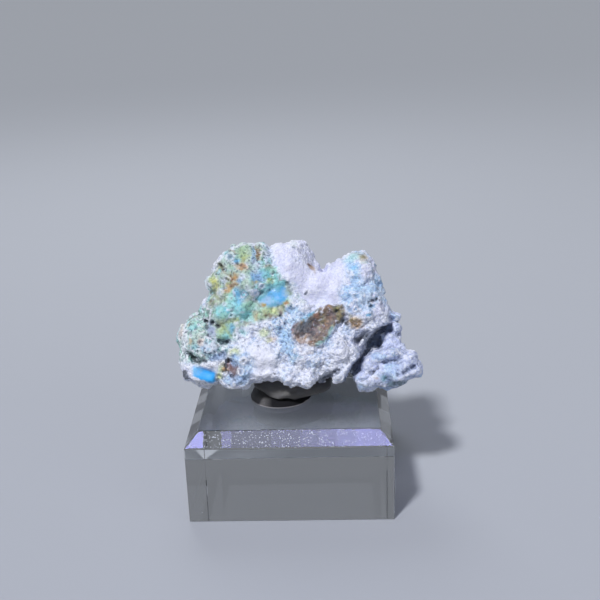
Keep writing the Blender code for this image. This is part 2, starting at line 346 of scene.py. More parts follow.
# %% Zones of the face
ZONES = {
    "crown": (
        (-23.5, 17.0), (-23.0, 22.0), (-23.5, 27.0), (-19.5, 31.0), (-18.0, 35.5), (-12.0, 37.5),
        (-8.0, 36.5), (-7.2, 31.5), (-5.5, 28.6), (-3.2, 26.6), (-1.8, 24.0), (-2.4, 20.6),
        (-5.0, 17.6), (-11.5, 16.8), (-13.6, 14.6), (-16.4, 12.0), (-20.9, 12.2), (-21.4, 15.4),
    ),
    "flank": (
        (-30.0, 7.0), (-31.0, 12.0), (-28.5, 17.5), (-24.0, 21.0), (-21.0, 20.0), (-20.8, 12.5),
        (-17.0, 11.0), (-18.5, 9.0), (-24.5, 6.5),
    ),
    "powder": (
        (-7.0, 36.5), (-6.2, 31.0), (-4.0, 27.8), (-1.2, 26.0), (0.0, 22.8), (2.0, 21.2), (4.2, 20.2),
        (7.5, 20.8), (10.2, 21.2), (9.4, 24.5), (11.0, 27.0), (11.4, 31.0), (9.5, 32.5), (6.0, 31.0),
        (5.2, 33.0), (0.5, 37.5), (-4.0, 37.5),
    ),
    "peak": (
        (10.2, 20.5), (9.8, 24.5), (11.4, 27.0), (11.2, 32.0), (14.0, 35.5), (18.5, 33.5), (21.5, 24.0),
        (22.0, 18.5), (15.0, 18.0), (11.5, 18.6),
    ),
    "waist": (
        (-7.0, 17.5), (-5.0, 19.0), (-2.5, 20.8), (1.0, 20.8), (-0.5, 17.0), (-2.2, 14.0), (-1.0, 10.8),
        (-0.2, 8.0), (-2.4, 6.0), (-6.2, 8.5),
    ),
    "lobes": (
        (12.8, -1.0), (13.4, 4.0), (16.3, 8.6), (19.0, 10.4), (20.6, 13.5), (21.6, 15.6), (21.4, 19.5),
        (26.5, 19.5), (31.0, 9.0), (32.0, 2.0), (27.0, -1.0),
    ),
}
print("zones:", ", ".join(ZONES))

# %% [markdown]
# Smaller zones lie within those: a pocket and a patch of clear blue mineral, the long brown pocket,
# the mint green lobe and the hollow under it, which is painted with shade, the crevices at the right,
# a slot at the left, and a creamy patch low on the belly, where the crust is worn smooth.

# %% Pockets and crevices
ZONES |= {
    "blue_pocket": (
        (-10.2, 21.2), (-10.1, 22.2), (-8.4, 23.4), (-6.7, 24.5), (-5.4, 24.9), (-4.2, 25.5),
        (-3.2, 24.6), (-2.8, 23.2), (-3.7, 21.7), (-5.4, 20.9), (-7.4, 20.2), (-9.2, 20.6),
    ),
    "blue_patch": (
        (-26.1, 5.6), (-24.8, 5.7), (-23.3, 5.2), (-20.7, 4.3), (-20.5, 1.5), (-22.0, 1.7),
        (-23.2, 2.0), (-24.8, 2.5), (-26.1, 3.0),
    ),
    "brown_pocket": (
        (-2.3, 14.4), (-1.0, 16.6), (1.5, 17.9), (3.2, 18.8), (4.9, 20.2), (7.6, 20.8), (10.5, 20.6),
        (10.9, 18.6), (10.1, 16.7), (8.6, 15.9), (7.6, 14.2), (6.4, 12.3), (4.7, 10.8), (2.7, 10.6),
        (1.6, 11.3), (-0.6, 11.5), (-1.9, 12.8),
    ),
    "mint_lobe": (
        (-20.4, 12.7), (-20.0, 14.5), (-19.8, 16.2), (-18.0, 16.6), (-16.5, 16.6), (-15.9, 15.0),
        (-16.6, 13.6), (-17.6, 12.5), (-18.6, 12.1), (-19.6, 12.3),
    ),
    "crevice": (
        (22.6, 15.8), (20.8, 16.0), (19.5, 15.2), (18.3, 14.3), (17.1, 13.2), (16.4, 11.8),
        (16.1, 10.2), (15.2, 8.4), (13.4, 6.9), (12.1, 5.4), (11.6, 4.2), (10.8, 3.0), (10.4, 0.6),
        (12.8, 0.8), (13.4, 3.0), (14.4, 4.2), (15.0, 5.0), (15.2, 6.6), (16.0, 7.9), (17.3, 9.0),
        (18.2, 9.6), (19.4, 9.8), (20.1, 10.6), (19.9, 12.0), (20.3, 13.2), (21.9, 13.8), (22.6, 14.6),
    ),
    "side_crevice": (
        (12.7, 12.7), (14.0, 12.9), (15.2, 14.0), (16.8, 14.6), (16.2, 13.2), (15.0, 12.0),
        (14.2, 10.8), (13.3, 11.6),
    ),
    "left_slot": (
        (-22.3, 7.9), (-21.3, 8.2), (-20.0, 8.8), (-18.6, 9.1), (-17.8, 9.9), (-17.5, 8.9),
        (-18.2, 7.9), (-19.3, 7.4), (-21.2, 7.2), (-22.2, 7.3),
    ),
    "under_mint": (
        (-20.4, 12.6), (-19.5, 11.0), (-18.2, 10.8), (-17.0, 11.6), (-16.9, 12.2), (-18.0, 12.2),
        (-19.2, 12.3),
    ),
    "cream": (
        (-13.8, 9.8), (-11.5, 10.4), (-8.0, 10.2), (-6.2, 9.0), (-6.0, 5.5), (-6.6, 2.0), (-9.5, 1.8),
        (-12.2, 2.8), (-11.2, 5.5), (-12.0, 8.0),
    ),
}


def in_zone(places, name, soft):
    return outline(places, ZONES[name], soft)


print(len(ZONES), "zones in all")

# %% [markdown]
# ## Carving the face
#
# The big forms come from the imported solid. What the camera sees between them is carved here, as a
# sculptor would with a brush: each stroke pushes the net in or out along the line of sight. It could
# be sculpted by hand, but a table of strokes can be read, moved and carved again. Pits are small
# holes where crystals fell out or gas escaped, and cracks run between lumps.

# %% Pits and cracks
PITS = (  # centre (across, up), radius, depth, mm
    ((-21.4, 16.4), 0.42, 1.0), ((-20.1, 15.8), 0.45, 1.1), ((-22.8, 16.8), 0.4, 0.9),
    ((-22.8, 15.2), 0.35, 0.8), ((-22.5, 13.3), 0.35, 0.8), ((-24.3, 11.7), 0.3, 0.5),
    ((-18.0, 27.2), 0.32, 0.7), ((-19.3, 30.3), 0.34, 0.8), ((-18.6, 29.3), 0.34, 0.8),
    ((-18.6, 24.6), 0.28, 0.5), ((-16.7, 32.7), 0.3, 0.5), ((-3.2, 25.9), 0.3, 0.4),
    ((1.5, 23.8), 0.36, 0.8), ((-1.6, 34.8), 0.3, 0.5), ((0.5, 35.2), 0.32, 0.6),
    ((-7.8, 18.0), 0.34, 0.6), ((-4.8, 18.2), 0.34, 0.7), ((-6.6, 17.4), 0.3, 0.5),
    ((9.0, 19.2), 0.36, 0.9), ((10.2, 17.1), 0.6, 1.2), ((11.4, 16.2), 0.4, 1.0),
    ((11.7, 19.9), 0.32, 0.6), ((12.6, 17.6), 0.3, 0.5), ((16.8, 21.5), 0.34, 0.9),
    ((17.6, 21.9), 0.4, 1.0), ((18.6, 22.3), 0.4, 1.0), ((17.6, 23.4), 0.3, 0.6),
    ((19.7, 21.7), 0.3, 0.7), ((17.3, 20.5), 0.36, 0.8), ((16.2, 17.0), 0.3, 0.5),
    ((-6.1, 3.8), 0.36, 0.9), ((-5.8, 4.8), 0.28, 0.5), ((-17.6, 7.3), 0.4, 0.8),
    ((-16.6, 3.2), 0.4, 0.8), ((-15.6, 2.4), 0.36, 0.7), ((-18.6, 4.3), 0.3, 0.5),
    ((-14.0, 12.4), 0.3, 0.5), ((-11.6, 13.6), 0.3, 0.5), ((-10.2, 10.4), 0.3, 0.6),
    ((-7.9, 9.6), 0.3, 0.4), ((2.4, 9.2), 0.3, 0.4), ((0.0, 7.7), 0.3, 0.4), ((5.6, 8.5), 0.3, 0.4),
    ((-2.8, 8.6), 0.3, 0.4), ((-28.1, 4.0), 0.7, 1.4), ((-27.6, 2.9), 0.5, 1.0),
    ((-16.4, 15.6), 0.3, 0.5), ((-1.2, 13.6), 0.4, 0.9), ((0.4, 14.6), 0.3, 0.6),
    ((2.2, 12.6), 0.35, 0.9), ((-26.8, 16.0), 0.3, 0.4), ((-22.0, 18.6), 0.3, 0.5),
    ((-13.4, 17.2), 0.3, 0.4),
)
CRACKS = (  # route (across, up), width, depth, mm
    (((-27.6, 9.3), (-26.7, 9.0), (-26.2, 8.1), (-25.7, 7.0), (-24.7, 6.5), (-24.0, 7.2),
     (-23.0, 7.0)), 0.32, 1.2),
    (((-19.4, 30.5), (-18.5, 29.2)), 0.35, 0.9), (((21.9, 17.9), (22.4, 16.3), (24.9, 16.2)), 0.4, 1.4),
    (((22.3, 14.2), (23.6, 13.5), (24.8, 13.5)), 0.4, 1.2),
    (((20.9, 10.2), (22.4, 10.5), (24.6, 10.6)), 0.4, 1.2),
    (((20.6, 6.8), (22.4, 6.8), (24.0, 7.2), (25.0, 8.0)), 0.5, 0.9),
    (((27.6, 5.9), (26.8, 5.0), (26.7, 3.8), (27.2, 2.8)), 0.35, 0.7),
    (((24.0, 3.7), (25.6, 4.1), (26.6, 5.1), (28.0, 5.6)), 0.45, 1.2),
    (((16.0, 2.7), (14.4, 2.4)), 0.35, 0.7), (((17.6, 4.1), (18.5, 4.8), (18.9, 5.1)), 0.35, 1.1),
    (((20.2, 9.0), (21.6, 8.9)), 0.3, 0.4), (((24.8, 6.9), (26.2, 6.7)), 0.3, 0.5),
    (((17.0, 6.6), (16.6, 7.6)), 0.3, 0.4), (((-12.2, 3.3), (-11.0, 2.8), (-9.0, 2.6)), 0.3, 0.4),
    (((-6.6, 4.5), (-5.9, 3.4)), 0.3, 0.8), (((10.4, 22.2), (12.2, 22.6), (13.6, 22.3)), 0.35, 0.6),
    (((12.4, 24.0), (14.4, 24.8), (16.2, 24.2)), 0.35, 0.6),
    (((15.6, 25.6), (17.6, 26.4), (19.2, 25.8)), 0.35, 0.5),
    (((14.6, 27.6), (15.6, 26.6), (15.8, 25.6)), 0.3, 0.5),
    (((16.8, 28.6), (17.6, 27.6), (17.4, 26.4)), 0.3, 0.4),
    (((-1.9, 14.6), (-0.7, 16.2), (1.8, 17.6), (3.5, 18.5), (5.2, 19.9), (7.6, 20.4)), 0.45, 0.5),
    (((5.5, 30.8), (5.6, 29.4)), 0.5, 1.6), (((-9.6, 36.4), (-9.9, 34.6), (-10.3, 32.0)), 0.35, 0.5),
    (((-7.3, 36.2), (-7.0, 33.6)), 0.35, 0.5), (((4.6, 1.8), (6.8, 3.4), (9.1, 4.7)), 0.5, 1.2),
)
print(len(PITS), "pits and", len(CRACKS), "cracks")

# %% [markdown]
# Beads are the round knobs that stand out of the crust. Hollows deepen a whole zone, and a negative
# one lifts it, as the blue mineral fills its pocket nearly to the brim. Ridges are the thin walls
# that stand in the crevice and along the edge of a pocket.

# %% Beads, hollows and ridges
BEADS = (  # centre (across, up), radius, height, mm
    ((-24.8, 7.6), 0.6, 1.0), ((20.1, 13.5), 0.6, 1.6), ((18.0, 10.1), 0.5, 1.2),
    ((28.2, 4.2), 1.4, 1.3), ((9.4, 2.7), 1.3, 1.0), ((22.9, 17.3), 1.4, 1.8), ((23.3, 15.0), 1.0, 1.6),
    ((22.5, 12.4), 1.8, 1.8), ((15.5, 0.9), 1.6, 0.8), ((20.4, 11.0), 0.5, 0.8),
    ((21.0, 19.3), 1.4, 0.9), ((19.4, 20.2), 1.5, 0.5), ((-18.6, 14.2), 1.6, 0.3),
    ((-21.0, 6.1), 2.0, 0.6), ((-16.2, 31.0), 0.7, 0.4), ((13.5, 16.8), 1.2, 0.5),
    ((-8.6, 34.0), 1.0, 0.6), ((-11.4, 23.7), 0.9, 0.5), ((-10.2, 25.4), 0.7, 0.4),
    ((-24.9, 13.9), 1.3, 0.4), ((-22.0, 10.2), 1.7, 0.5), ((-4.2, 5.6), 1.6, 0.4),
    ((-12.9, 8.4), 1.6, 0.5), ((6.8, 10.4), 1.5, 0.5), ((10.6, 9.4), 1.4, 0.5), ((20.0, 9.0), 1.4, 0.5),
    ((23.4, 9.2), 1.6, 0.6), ((26.4, 8.0), 1.4, 0.6), ((21.6, 5.0), 1.5, 0.4), ((25.6, 6.0), 1.1, 0.5),
    ((15.4, 1.2), 1.3, 0.5), ((18.4, 2.2), 1.1, 0.4), ((22.8, 3.0), 1.1, 0.4), ((15.6, 5.4), 0.9, 0.4),
    ((6.8, 30.4), 0.7, 0.5), ((9.4, 31.2), 0.8, 0.5), ((4.6, 31.4), 0.8, 0.5), ((16.8, 28.2), 1.2, 0.4),
    ((18.0, 25.2), 1.1, 0.4), ((12.4, 23.4), 1.2, 0.4), ((-21.4, 26.4), 1.3, 0.4),
    ((-19.4, 23.7), 0.8, 0.4), ((-7.2, 30.1), 0.9, 0.3),
)
HOLLOWS = (  # zone, edge softness, depth, mm
    ("blue_pocket", 0.5, -0.9), ("blue_patch", 0.35, -0.7), ("brown_pocket", 0.6, -1.6),
    ("crevice", 0.5, 1.6), ("side_crevice", 0.35, 1.6), ("left_slot", 0.35, 0.7),
    ("under_mint", 0.3, 0.5), ("mint_lobe", 0.6, -0.15),
)
RIDGES = (  # route (across, up), width, height, mm
    (((14.7, 11.2), (15.6, 12.2), (16.5, 13.3), (17.6, 14.2), (18.8, 15.0)), 0.55, 1.2),
    (((8.1, 15.0), (6.9, 12.9), (5.0, 10.9)), 0.5, 0.4),
    (((-26.0, 2.7), (-23.8, 1.8), (-22.2, 1.2), (-20.0, 1.2)), 0.4, 0.5),
)
print(len(BEADS), "beads,", len(HOLLOWS), "hollows and", len(RIDGES), "ridges")

# %% [markdown]
# Against the sky the eye follows the outline, so its small bumps and notches get their own strokes,
# which shift it across or up. Rings are rosettes of crystals round a heart of another mineral: a low
# wall is carved for each, and its heart is painted later.

# %% Bumps of the outline and rings
SHIFTS = (  # centre (across, up), radius, shift (across, up), mm
    ((5.6, 30.0), 0.8, (0.0, -1.6)), ((7.0, 30.2), 0.6, (0.0, 0.7)), ((9.4, 31.2), 0.7, (0.0, 0.6)),
    ((4.7, 31.6), 0.7, (0.3, 0.4)), ((-14.0, 36.0), 1.1, (0.0, 0.4)), ((-10.6, 36.6), 1.2, (0.0, 0.4)),
    ((-6.5, 1.9), 2.8, (0.0, 0.9)), ((-7.3, 35.8), 0.8, (0.0, -0.9)), ((23.8, 17.6), 1.0, (0.6, 0.3)),
    ((24.2, 14.9), 0.8, (0.6, 0.0)), ((24.6, 16.2), 0.5, (-0.7, 0.0)), ((24.0, 12.0), 1.1, (0.5, 0.0)),
    ((28.6, 4.4), 1.0, (0.5, 0.0)), ((-22.6, 27.6), 1.0, (-0.4, 0.0)), ((-21.8, 23.6), 0.9, (0.5, 0.0)),
    ((-19.8, 31.0), 0.8, (-0.3, 0.3)),
)
ROSETTES = (  # centre (across, up), radius of the ring, mm, pigment of its heart
    ((-16.9, 32.6), 1.0, "slate"), ((-17.9, 27.1), 0.7, "char"), ((-19.4, 23.8), 0.75, "chalk"),
    ((-15.7, 13.2), 0.65, "grey_green"), ((-16.9, 18.2), 0.6, "aqua"), ((-13.5, 7.0), 0.8, "tan"),
    ((16.9, 18.2), 0.75, "sky"), ((-9.4, 25.3), 0.7, "chalk"), ((-11.0, 23.6), 0.7, "ice"),
    ((-22.9, 16.8), 0.6, "slate"), ((-13.6, 23.3), 0.5, "aqua"), ((-7.4, 15.4), 0.8, "pale_blue"),
    ((-25.0, 9.6), 0.6, "grey_green"), ((-22.3, 9.8), 0.7, "ice"), ((-14.6, 4.4), 0.7, "slate"),
    ((13.6, 19.6), 0.6, "pale_blue"), ((1.4, 23.7), 0.6, "slate"), ((-9.0, 33.2), 0.7, "grey_green"),
    ((-20.3, 28.7), 0.6, "grey_green"), ((-23.3, 19.6), 0.6, "mint"), ((-17.0, 0.0), 0.6, "slate"),
    ((-8.2, 16.0), 0.7, "ice"), ((-5.0, 16.4), 0.7, "ice"), ((9.3, 11.4), 0.7, "slate"),
)
print(len(SHIFTS), "bumps and", len(ROSETTES), "rings")

# %% [markdown]
# `carve` adds all strokes up into one push for each point, along its line to the camera, and leaves
# alone what the camera can't see. The whole net moves once, so strokes that overlap add up evenly.

# %% Carve the face
STROKE_SOFT = 0.8  # how soft a stroke's edge is, as a share of its size
RING_HEIGHT = 0.45  # mm


def carve(piece):
    body = points_of(piece)
    facing = in_view(depth_hidden(piece))
    places = seen_at(body) + ragged(body, 1.2, 0.4)
    push = np.zeros(len(body))
    for centre, radius, depth in PITS:
        push += depth * ellipse(places, centre, (radius, radius), soft=STROKE_SOFT)
    for route, width, depth in CRACKS:
        push += depth * line(places, route, width, soft=STROKE_SOFT)
    for name, soft, depth in HOLLOWS:
        push += depth * in_zone(places, name, soft)
    for centre, radius, height in BEADS:
        push -= height * ellipse(places, centre, (radius, radius), soft=STROKE_SOFT)
    for route, width, height in RIDGES:
        push -= height * line(places, route, width, soft=STROKE_SOFT)
    for centre, radius, _ in ROSETTES:
        push -= RING_HEIGHT * ring(places, centre, radius)
    away = body - np.array(EYE)
    away /= np.linalg.norm(away, axis=1, keepdims=True)
    moved = body + away * (push * facing)[:, None]
    for centre, radius, (across, up) in SHIFTS:
        amount = facing * ellipse(places, centre, (radius, radius), soft=0.9)
        moved += amount[:, None] * np.array((across, 0.0, up))
    put_points(piece, moved)


carve(stone)
print("carved stone:", [round(value / MM, 1) for value in stone.dimensions], "mm")

# %% [markdown]
# The blue mineral has a glassy skin, flat where it broke and without any grain. So its two zones are
# drawn towards the plane that fits them best, which for the lower patch leans back far enough to
# catch the key light, and are then smoothed. A vertex group keeps the smoothing inside them: it
# holds a weight for each point, rounded to twenty steps so that points are set in batches.

# %% Flatten and smooth the blue zones
GLAZED = ("blue_pocket", "blue_patch")


def set_group(piece, name, weights, steps=20):
    group = piece.vertex_groups.get(name) or piece.vertex_groups.new(name=name)
    levels = np.round(np.clip(weights, 0, 1) * steps).astype(int)
    for level in range(steps + 1):
        group.add(np.nonzero(levels == level)[0].tolist(), level / steps, "REPLACE")


def smooth_zones(piece, names, rounds):
    """Irons out the zones that carry a glassy skin."""
    places = seen_at(points_of(piece))
    facing = in_view(depth_hidden(piece))
    inside = np.max([in_zone(places, name, 0.5) for name in names], axis=0)
    set_group(piece, "glassy", facing * inside)
    modify(piece, "SMOOTH", factor=0.5, iterations=rounds, vertex_group="glassy")


def flatten(piece, name, share, least_lean=-1.0):
    """Draws a zone towards the plane that fits it best, leaning back at least so far."""
    body = points_of(piece)
    amount = share * in_zone(seen_at(body), name, 0.5) * in_view(depth_hidden(piece))
    core = body[amount > 0.5 * share]
    middle = core.mean(axis=0)
    core = core - middle
    aside, lean = np.linalg.lstsq(core[:, [0, 2]], core[:, 1], rcond=None)[0]
    print(f"{name}: turned {aside:.2f}, leaning {lean:.2f}")
    lean = max(lean, least_lean)
    level = middle[1] + (body[:, 0] - middle[0]) * aside + (body[:, 2] - middle[2]) * lean
    body[:, 1] += (level - body[:, 1]) * amount
    put_points(piece, body)


flatten(stone, "blue_patch", 0.9, 0.35)
flatten(stone, "blue_pocket", 0.6)
smooth_zones(stone, GLAZED, 30)

# %% [markdown]
# ## The crust
#
# Gibbsite grows as a crust of round buds, each covered with smaller ones, in four sizes here: lobes,
# knobs, buds and grains. Weights say how much of each size grows where: large knobs on the lobes,
# fine buds on the belly, next to nothing on the powdery sheet and in the glazed pockets. They are
# worked out from the same zones, as a full measure less what each zone takes away.

# %% Where each size of crust grows
FULL_CRUST = {"knobs": 0.62, "buds": 1, "grains": 1}
LESS_CRUST = {  # how much less of each size grows in a zone
    "knobs": {"lobes": 0.2, "crown": 0.2, "powder": 0.56, "cream": 0.4},
    "buds": {"crown": 0.45, "powder": 0.9, "lobes": 0.6, "cream": 0.6, "peak": 0.4},
    "grains": {"crown": 0.35, "powder": 0.5, "lobes": 0.3, "cream": 0.3, "peak": 0.25},
}


def crust_weights(piece, facing):
    """The weights of each size of crust at each point."""
    points = points_of(piece)
    places = seen_at(points) + ragged(points, 1.4, 0.6)
    front = {name: in_zone(places, name, 0.8) * facing for name in ZONES}
    bare = np.max([front[name] for name in GLAZED], axis=0)
    half_bare = np.maximum(0.5 * front["brown_pocket"], 0.7 * front["mint_lobe"])
    dome = ellipse(places, (0.2, 34.4), (6.5, 3.0), -20)  # the powdery sheet's rougher top
    front["powder"] = front["powder"] * (1 - 0.6 * dome)
    weights = {"lobes": front["lobes"]}
    for size, full in FULL_CRUST.items():
        weights[size] = full
        for zone, less in LESS_CRUST[size].items():
            weights[size] = weights[size] - less * front[zone]
    keep = (1 - 0.93 * bare) * (1 - 0.55 * half_bare)
    return {size: np.clip(weight * keep, 0.02, 1) for size, weight in weights.items()}


for size, weights in crust_weights(stone, in_view(depth_hidden(stone))).items():
    set_group(stone, size, weights)
    print(f"{size}: {weights.mean():.2f} on average")

# %% [markdown]
# A Displace modifier with a Voronoi texture makes buds: the texture is the distance to the nearest
# of many scattered points, so pushing in by it leaves a round bud at each point and a crease between.
# The large sizes come first. They stretch the net, so a second remesh evens it out before the small
# buds and the frost of crystals go on.

# %% Grow the crust
def texture(name, kind, size_mm, **settings):
    made = bpy.data.textures.new(name, kind)
    made.noise_scale = size_mm * MM
    for key, value in settings.items():
        setattr(made, key, value)
    return made


def displace(piece, pattern, relief_mm, group=""):
    modify(
        piece, "DISPLACE", texture=pattern, texture_coords="LOCAL", direction="NORMAL",
        strength=relief_mm * MM, mid_level=0.45, vertex_group=group,
    )


displace(stone, texture("lumps", "CLOUDS", 2.6, noise_depth=2), 0.8, "buds")
displace(stone, texture("lobe knobs", "VORONOI", 3.6), -0.9, "lobes")
displace(stone, texture("knobs", "VORONOI", 2.6), -1.2, "knobs")
displace(stone, texture("buds", "VORONOI", 1.5), -0.7, "buds")
modify(stone, "REMESH", mode="VOXEL", voxel_size=NET * MM)
modify(stone, "SMOOTH", factor=0.5, iterations=1)
hidden = depth_hidden(stone)
set_group(stone, "grains", crust_weights(stone, in_view(hidden))["grains"])
displace(stone, texture("small buds", "VORONOI", 0.85), -0.46, "grains")
displace(stone, texture("frost", "CLOUDS", 0.5, noise_depth=2), 0.3, "grains")
print("crusted stone:", triangles(stone), "triangles")

# %% [markdown]
# The net is fine enough for the face, which is seen close, and finer than the back needs. Decimate
# thins the far side alone: its vertex group holds the points that the camera can't see. That keeps
# every bud of the face, and brings the piece under the limit.

# %% Thin the far side
MOST_TRIANGLES = 192_000

set_group(stone, "far side", 1 - in_view(hidden, near=2.5, far=5.0))
modify(
    stone, "DECIMATE", ratio=MOST_TRIANGLES / triangles(stone), vertex_group="far side",
    vertex_group_factor=1.0, use_collapse_triangulate=True,
)
print("thinned stone:", triangles(stone), "triangles")

# %% [markdown]
# ## Colour in the stone
#
# The crust is chalk white with a lavender cast. Copper-bearing zones stain it turquoise, sky blue
# and sea green, and iron leaves ochre spots and a rusty brown pocket. The colour is laid on as a
# painter would: a ground for each zone, then ragged patches of other pigments over a share of it,
# then the single spots and streaks. A shader could mix a few noises, but a spot is easier to place
# one by one. The pigments come first, as red, green and blue shares of the light they throw back.

# %% Pigments
PIGMENTS = {
    # White also serves as painted light on some rims and as painted highlights
    "chalk": (0.70, 0.77, 0.99), "white": (0.88, 0.90, 0.98), "lavender": (0.70, 0.71, 0.92),
    "cream": (0.84, 0.84, 0.95), "frost": (0.88, 0.91, 0.98), "iris": (0.47, 0.53, 0.82),
    "ice": (0.42, 0.62, 0.88), "pale_blue": (0.24, 0.46, 0.80), "sky": (0.10, 0.44, 0.76),
    "azure": (0.03, 0.45, 1.0), "pale_azure": (0.20, 0.52, 0.84), "pocket_blue": (0.11, 0.42, 0.74),
    # Deep teal is also painted shade under the mint lobe and the lobes
    "aqua": (0.23, 0.69, 0.70), "teal": (0.12, 0.42, 0.50), "deep_teal": (0.085, 0.15, 0.17),
    "sage": (0.48, 0.63, 0.53), "sea_green": (0.28, 0.58, 0.40), "mint": (0.32, 0.60, 0.50),
    "lime": (0.46, 0.58, 0.20), "yellow": (0.62, 0.62, 0.12), "ochre": (0.50, 0.28, 0.08),
    "peach": (0.66, 0.50, 0.42), "tan": (0.48, 0.40, 0.30), "rust": (0.26, 0.10, 0.05),
    "red": (0.36, 0.10, 0.10), "brown": (0.16, 0.09, 0.045), "plum": (0.18, 0.12, 0.13),
    # Grey green and slate are also painted shade in folds, grooves, cracks and on the flank
    "olive": (0.22, 0.19, 0.06), "grey_green": (0.15, 0.21, 0.20), "slate": (0.14, 0.20, 0.33),
    # Char is also painted shade in pits, cracks and crevices
    "char": (0.026, 0.034, 0.050),
}
print(len(PIGMENTS), "pigments")

# %% [markdown]
# Each broad zone has a ground colour. Over it lie ragged patches of other pigments, from large
# drifts down to clumps of a few crystals. The pockets have linings of their own, and the crevices and
# the hollow under the mint lobe are filled with painted shade.
# Beyond the camera's view large noise patches take the place of the outlines, so the back of the
# stone carries the same minerals as its face.

# %% Grounds and patches
GROUNDS = (  # pigment, zone, strength
    ("sage", "crown", 1.0), ("mint", "flank", 0.9), ("lavender", "powder", 1.0), ("ice", "peak", 0.8),
    ("ice", "waist", 0.8), ("iris", "lobes", 0.85), ("cream", "cream", 0.85),
)
PATCHES = (  # pigment, zone, patch size in mm, share, strength
    ("aqua", "crown", 3.4, 0.26, 0.75), ("sea_green", "crown", 2.6, 0.22, 0.6),
    ("lime", "crown", 2.2, 0.16, 0.6), ("chalk", "crown", 1.5, 0.20, 0.6),
    ("white", "crown", 0.8, 0.17, 0.7), ("olive", "crown", 1.7, 0.12, 0.35),
    ("grey_green", "crown", 0.55, 0.14, 0.75), ("grey_green", "flank", 2.2, 0.34, 0.5),
    ("sea_green", "flank", 2.4, 0.26, 0.5), ("aqua", "flank", 2.0, 0.18, 0.6),
    ("grey_green", "flank", 0.8, 0.28, 0.75), ("tan", "flank", 1.4, 0.10, 0.6),
    ("white", "flank", 0.9, 0.22, 0.75), ("chalk", "powder", 2.2, 0.15, 0.3),
    ("white", "powder", 1.2, 0.20, 0.4), ("lavender", "peak", 2.8, 0.34, 0.85),
    ("pale_blue", "peak", 2.2, 0.26, 0.6), ("slate", "peak", 0.5, 0.06, 0.5),
    ("white", "peak", 0.9, 0.20, 0.6), ("lavender", "waist", 1.8, 0.22, 0.6),
    ("pale_blue", "waist", 2.0, 0.36, 0.75), ("slate", "waist", 0.5, 0.10, 0.5),
    ("white", "waist", 0.8, 0.24, 0.6), ("pale_blue", "lobes", 2.8, 0.20, 0.5),
    ("slate", "lobes", 0.8, 0.08, 0.4), ("white", "lobes", 1.2, 0.22, 0.5),
    ("lavender", "rest", 2.8, 0.36, 0.7), ("pale_blue", "rest", 2.2, 0.14, 0.5),
    ("slate", "rest", 0.5, 0.05, 0.5), ("white", "rest", 0.9, 0.28, 0.7),
    ("white", "cream", 0.8, 0.20, 0.6), ("slate", "cream", 0.4, 0.03, 0.4),
)
HIDDEN_PATCHES = {  # zone: patch size in mm and share, where the camera can't see
    "crown": (13.0, 0.30), "flank": (9.0, 0.15), "peak": (11.0, 0.25), "waist": (8.0, 0.14),
    "lobes": (10.0, 0.16), "brown_pocket": (5.0, 0.03), "blue_patch": (4.5, 0.02),
}
POCKET_COLOURS = (  # pigment, zone, patch size in mm, share, strength
    ("brown", "brown_pocket", 1.0, 1.0, 1.0), ("rust", "brown_pocket", 2.2, 0.24, 0.6),
    ("plum", "brown_pocket", 2.6, 0.30, 0.8), ("olive", "brown_pocket", 2.0, 0.24, 0.8),
    ("grey_green", "brown_pocket", 0.8, 0.20, 0.6), ("char", "brown_pocket", 0.55, 0.18, 0.9),
    ("tan", "brown_pocket", 0.6, 0.12, 0.7), ("chalk", "brown_pocket", 0.45, 0.05, 0.6),
    ("ochre", "brown_pocket", 0.9, 0.12, 0.5), ("pocket_blue", "blue_pocket", 1.0, 1.0, 1.0),
    ("aqua", "blue_pocket", 2.2, 0.30, 0.4), ("ice", "blue_pocket", 0.8, 0.20, 0.5),
    ("azure", "blue_patch", 1.0, 1.0, 1.0), ("mint", "mint_lobe", 1.0, 1.0, 0.7),
    # The crevices are filled with painted shade
    ("lime", "mint_lobe", 1.6, 0.35, 0.5), ("char", "crevice", 1.0, 1.0, 0.85),
    ("slate", "crevice", 0.8, 0.45, 0.7), ("chalk", "crevice", 0.6, 0.07, 0.5),
    ("char", "side_crevice", 1.0, 1.0, 0.75), ("slate", "left_slot", 1.0, 1.0, 0.9),
    # Painted shade in the hollow under the mint lobe
    ("deep_teal", "under_mint", 1.0, 1.0, 0.85),
)
print(len(GROUNDS), "grounds and", len(PATCHES) + len(POCKET_COLOURS), "patches")
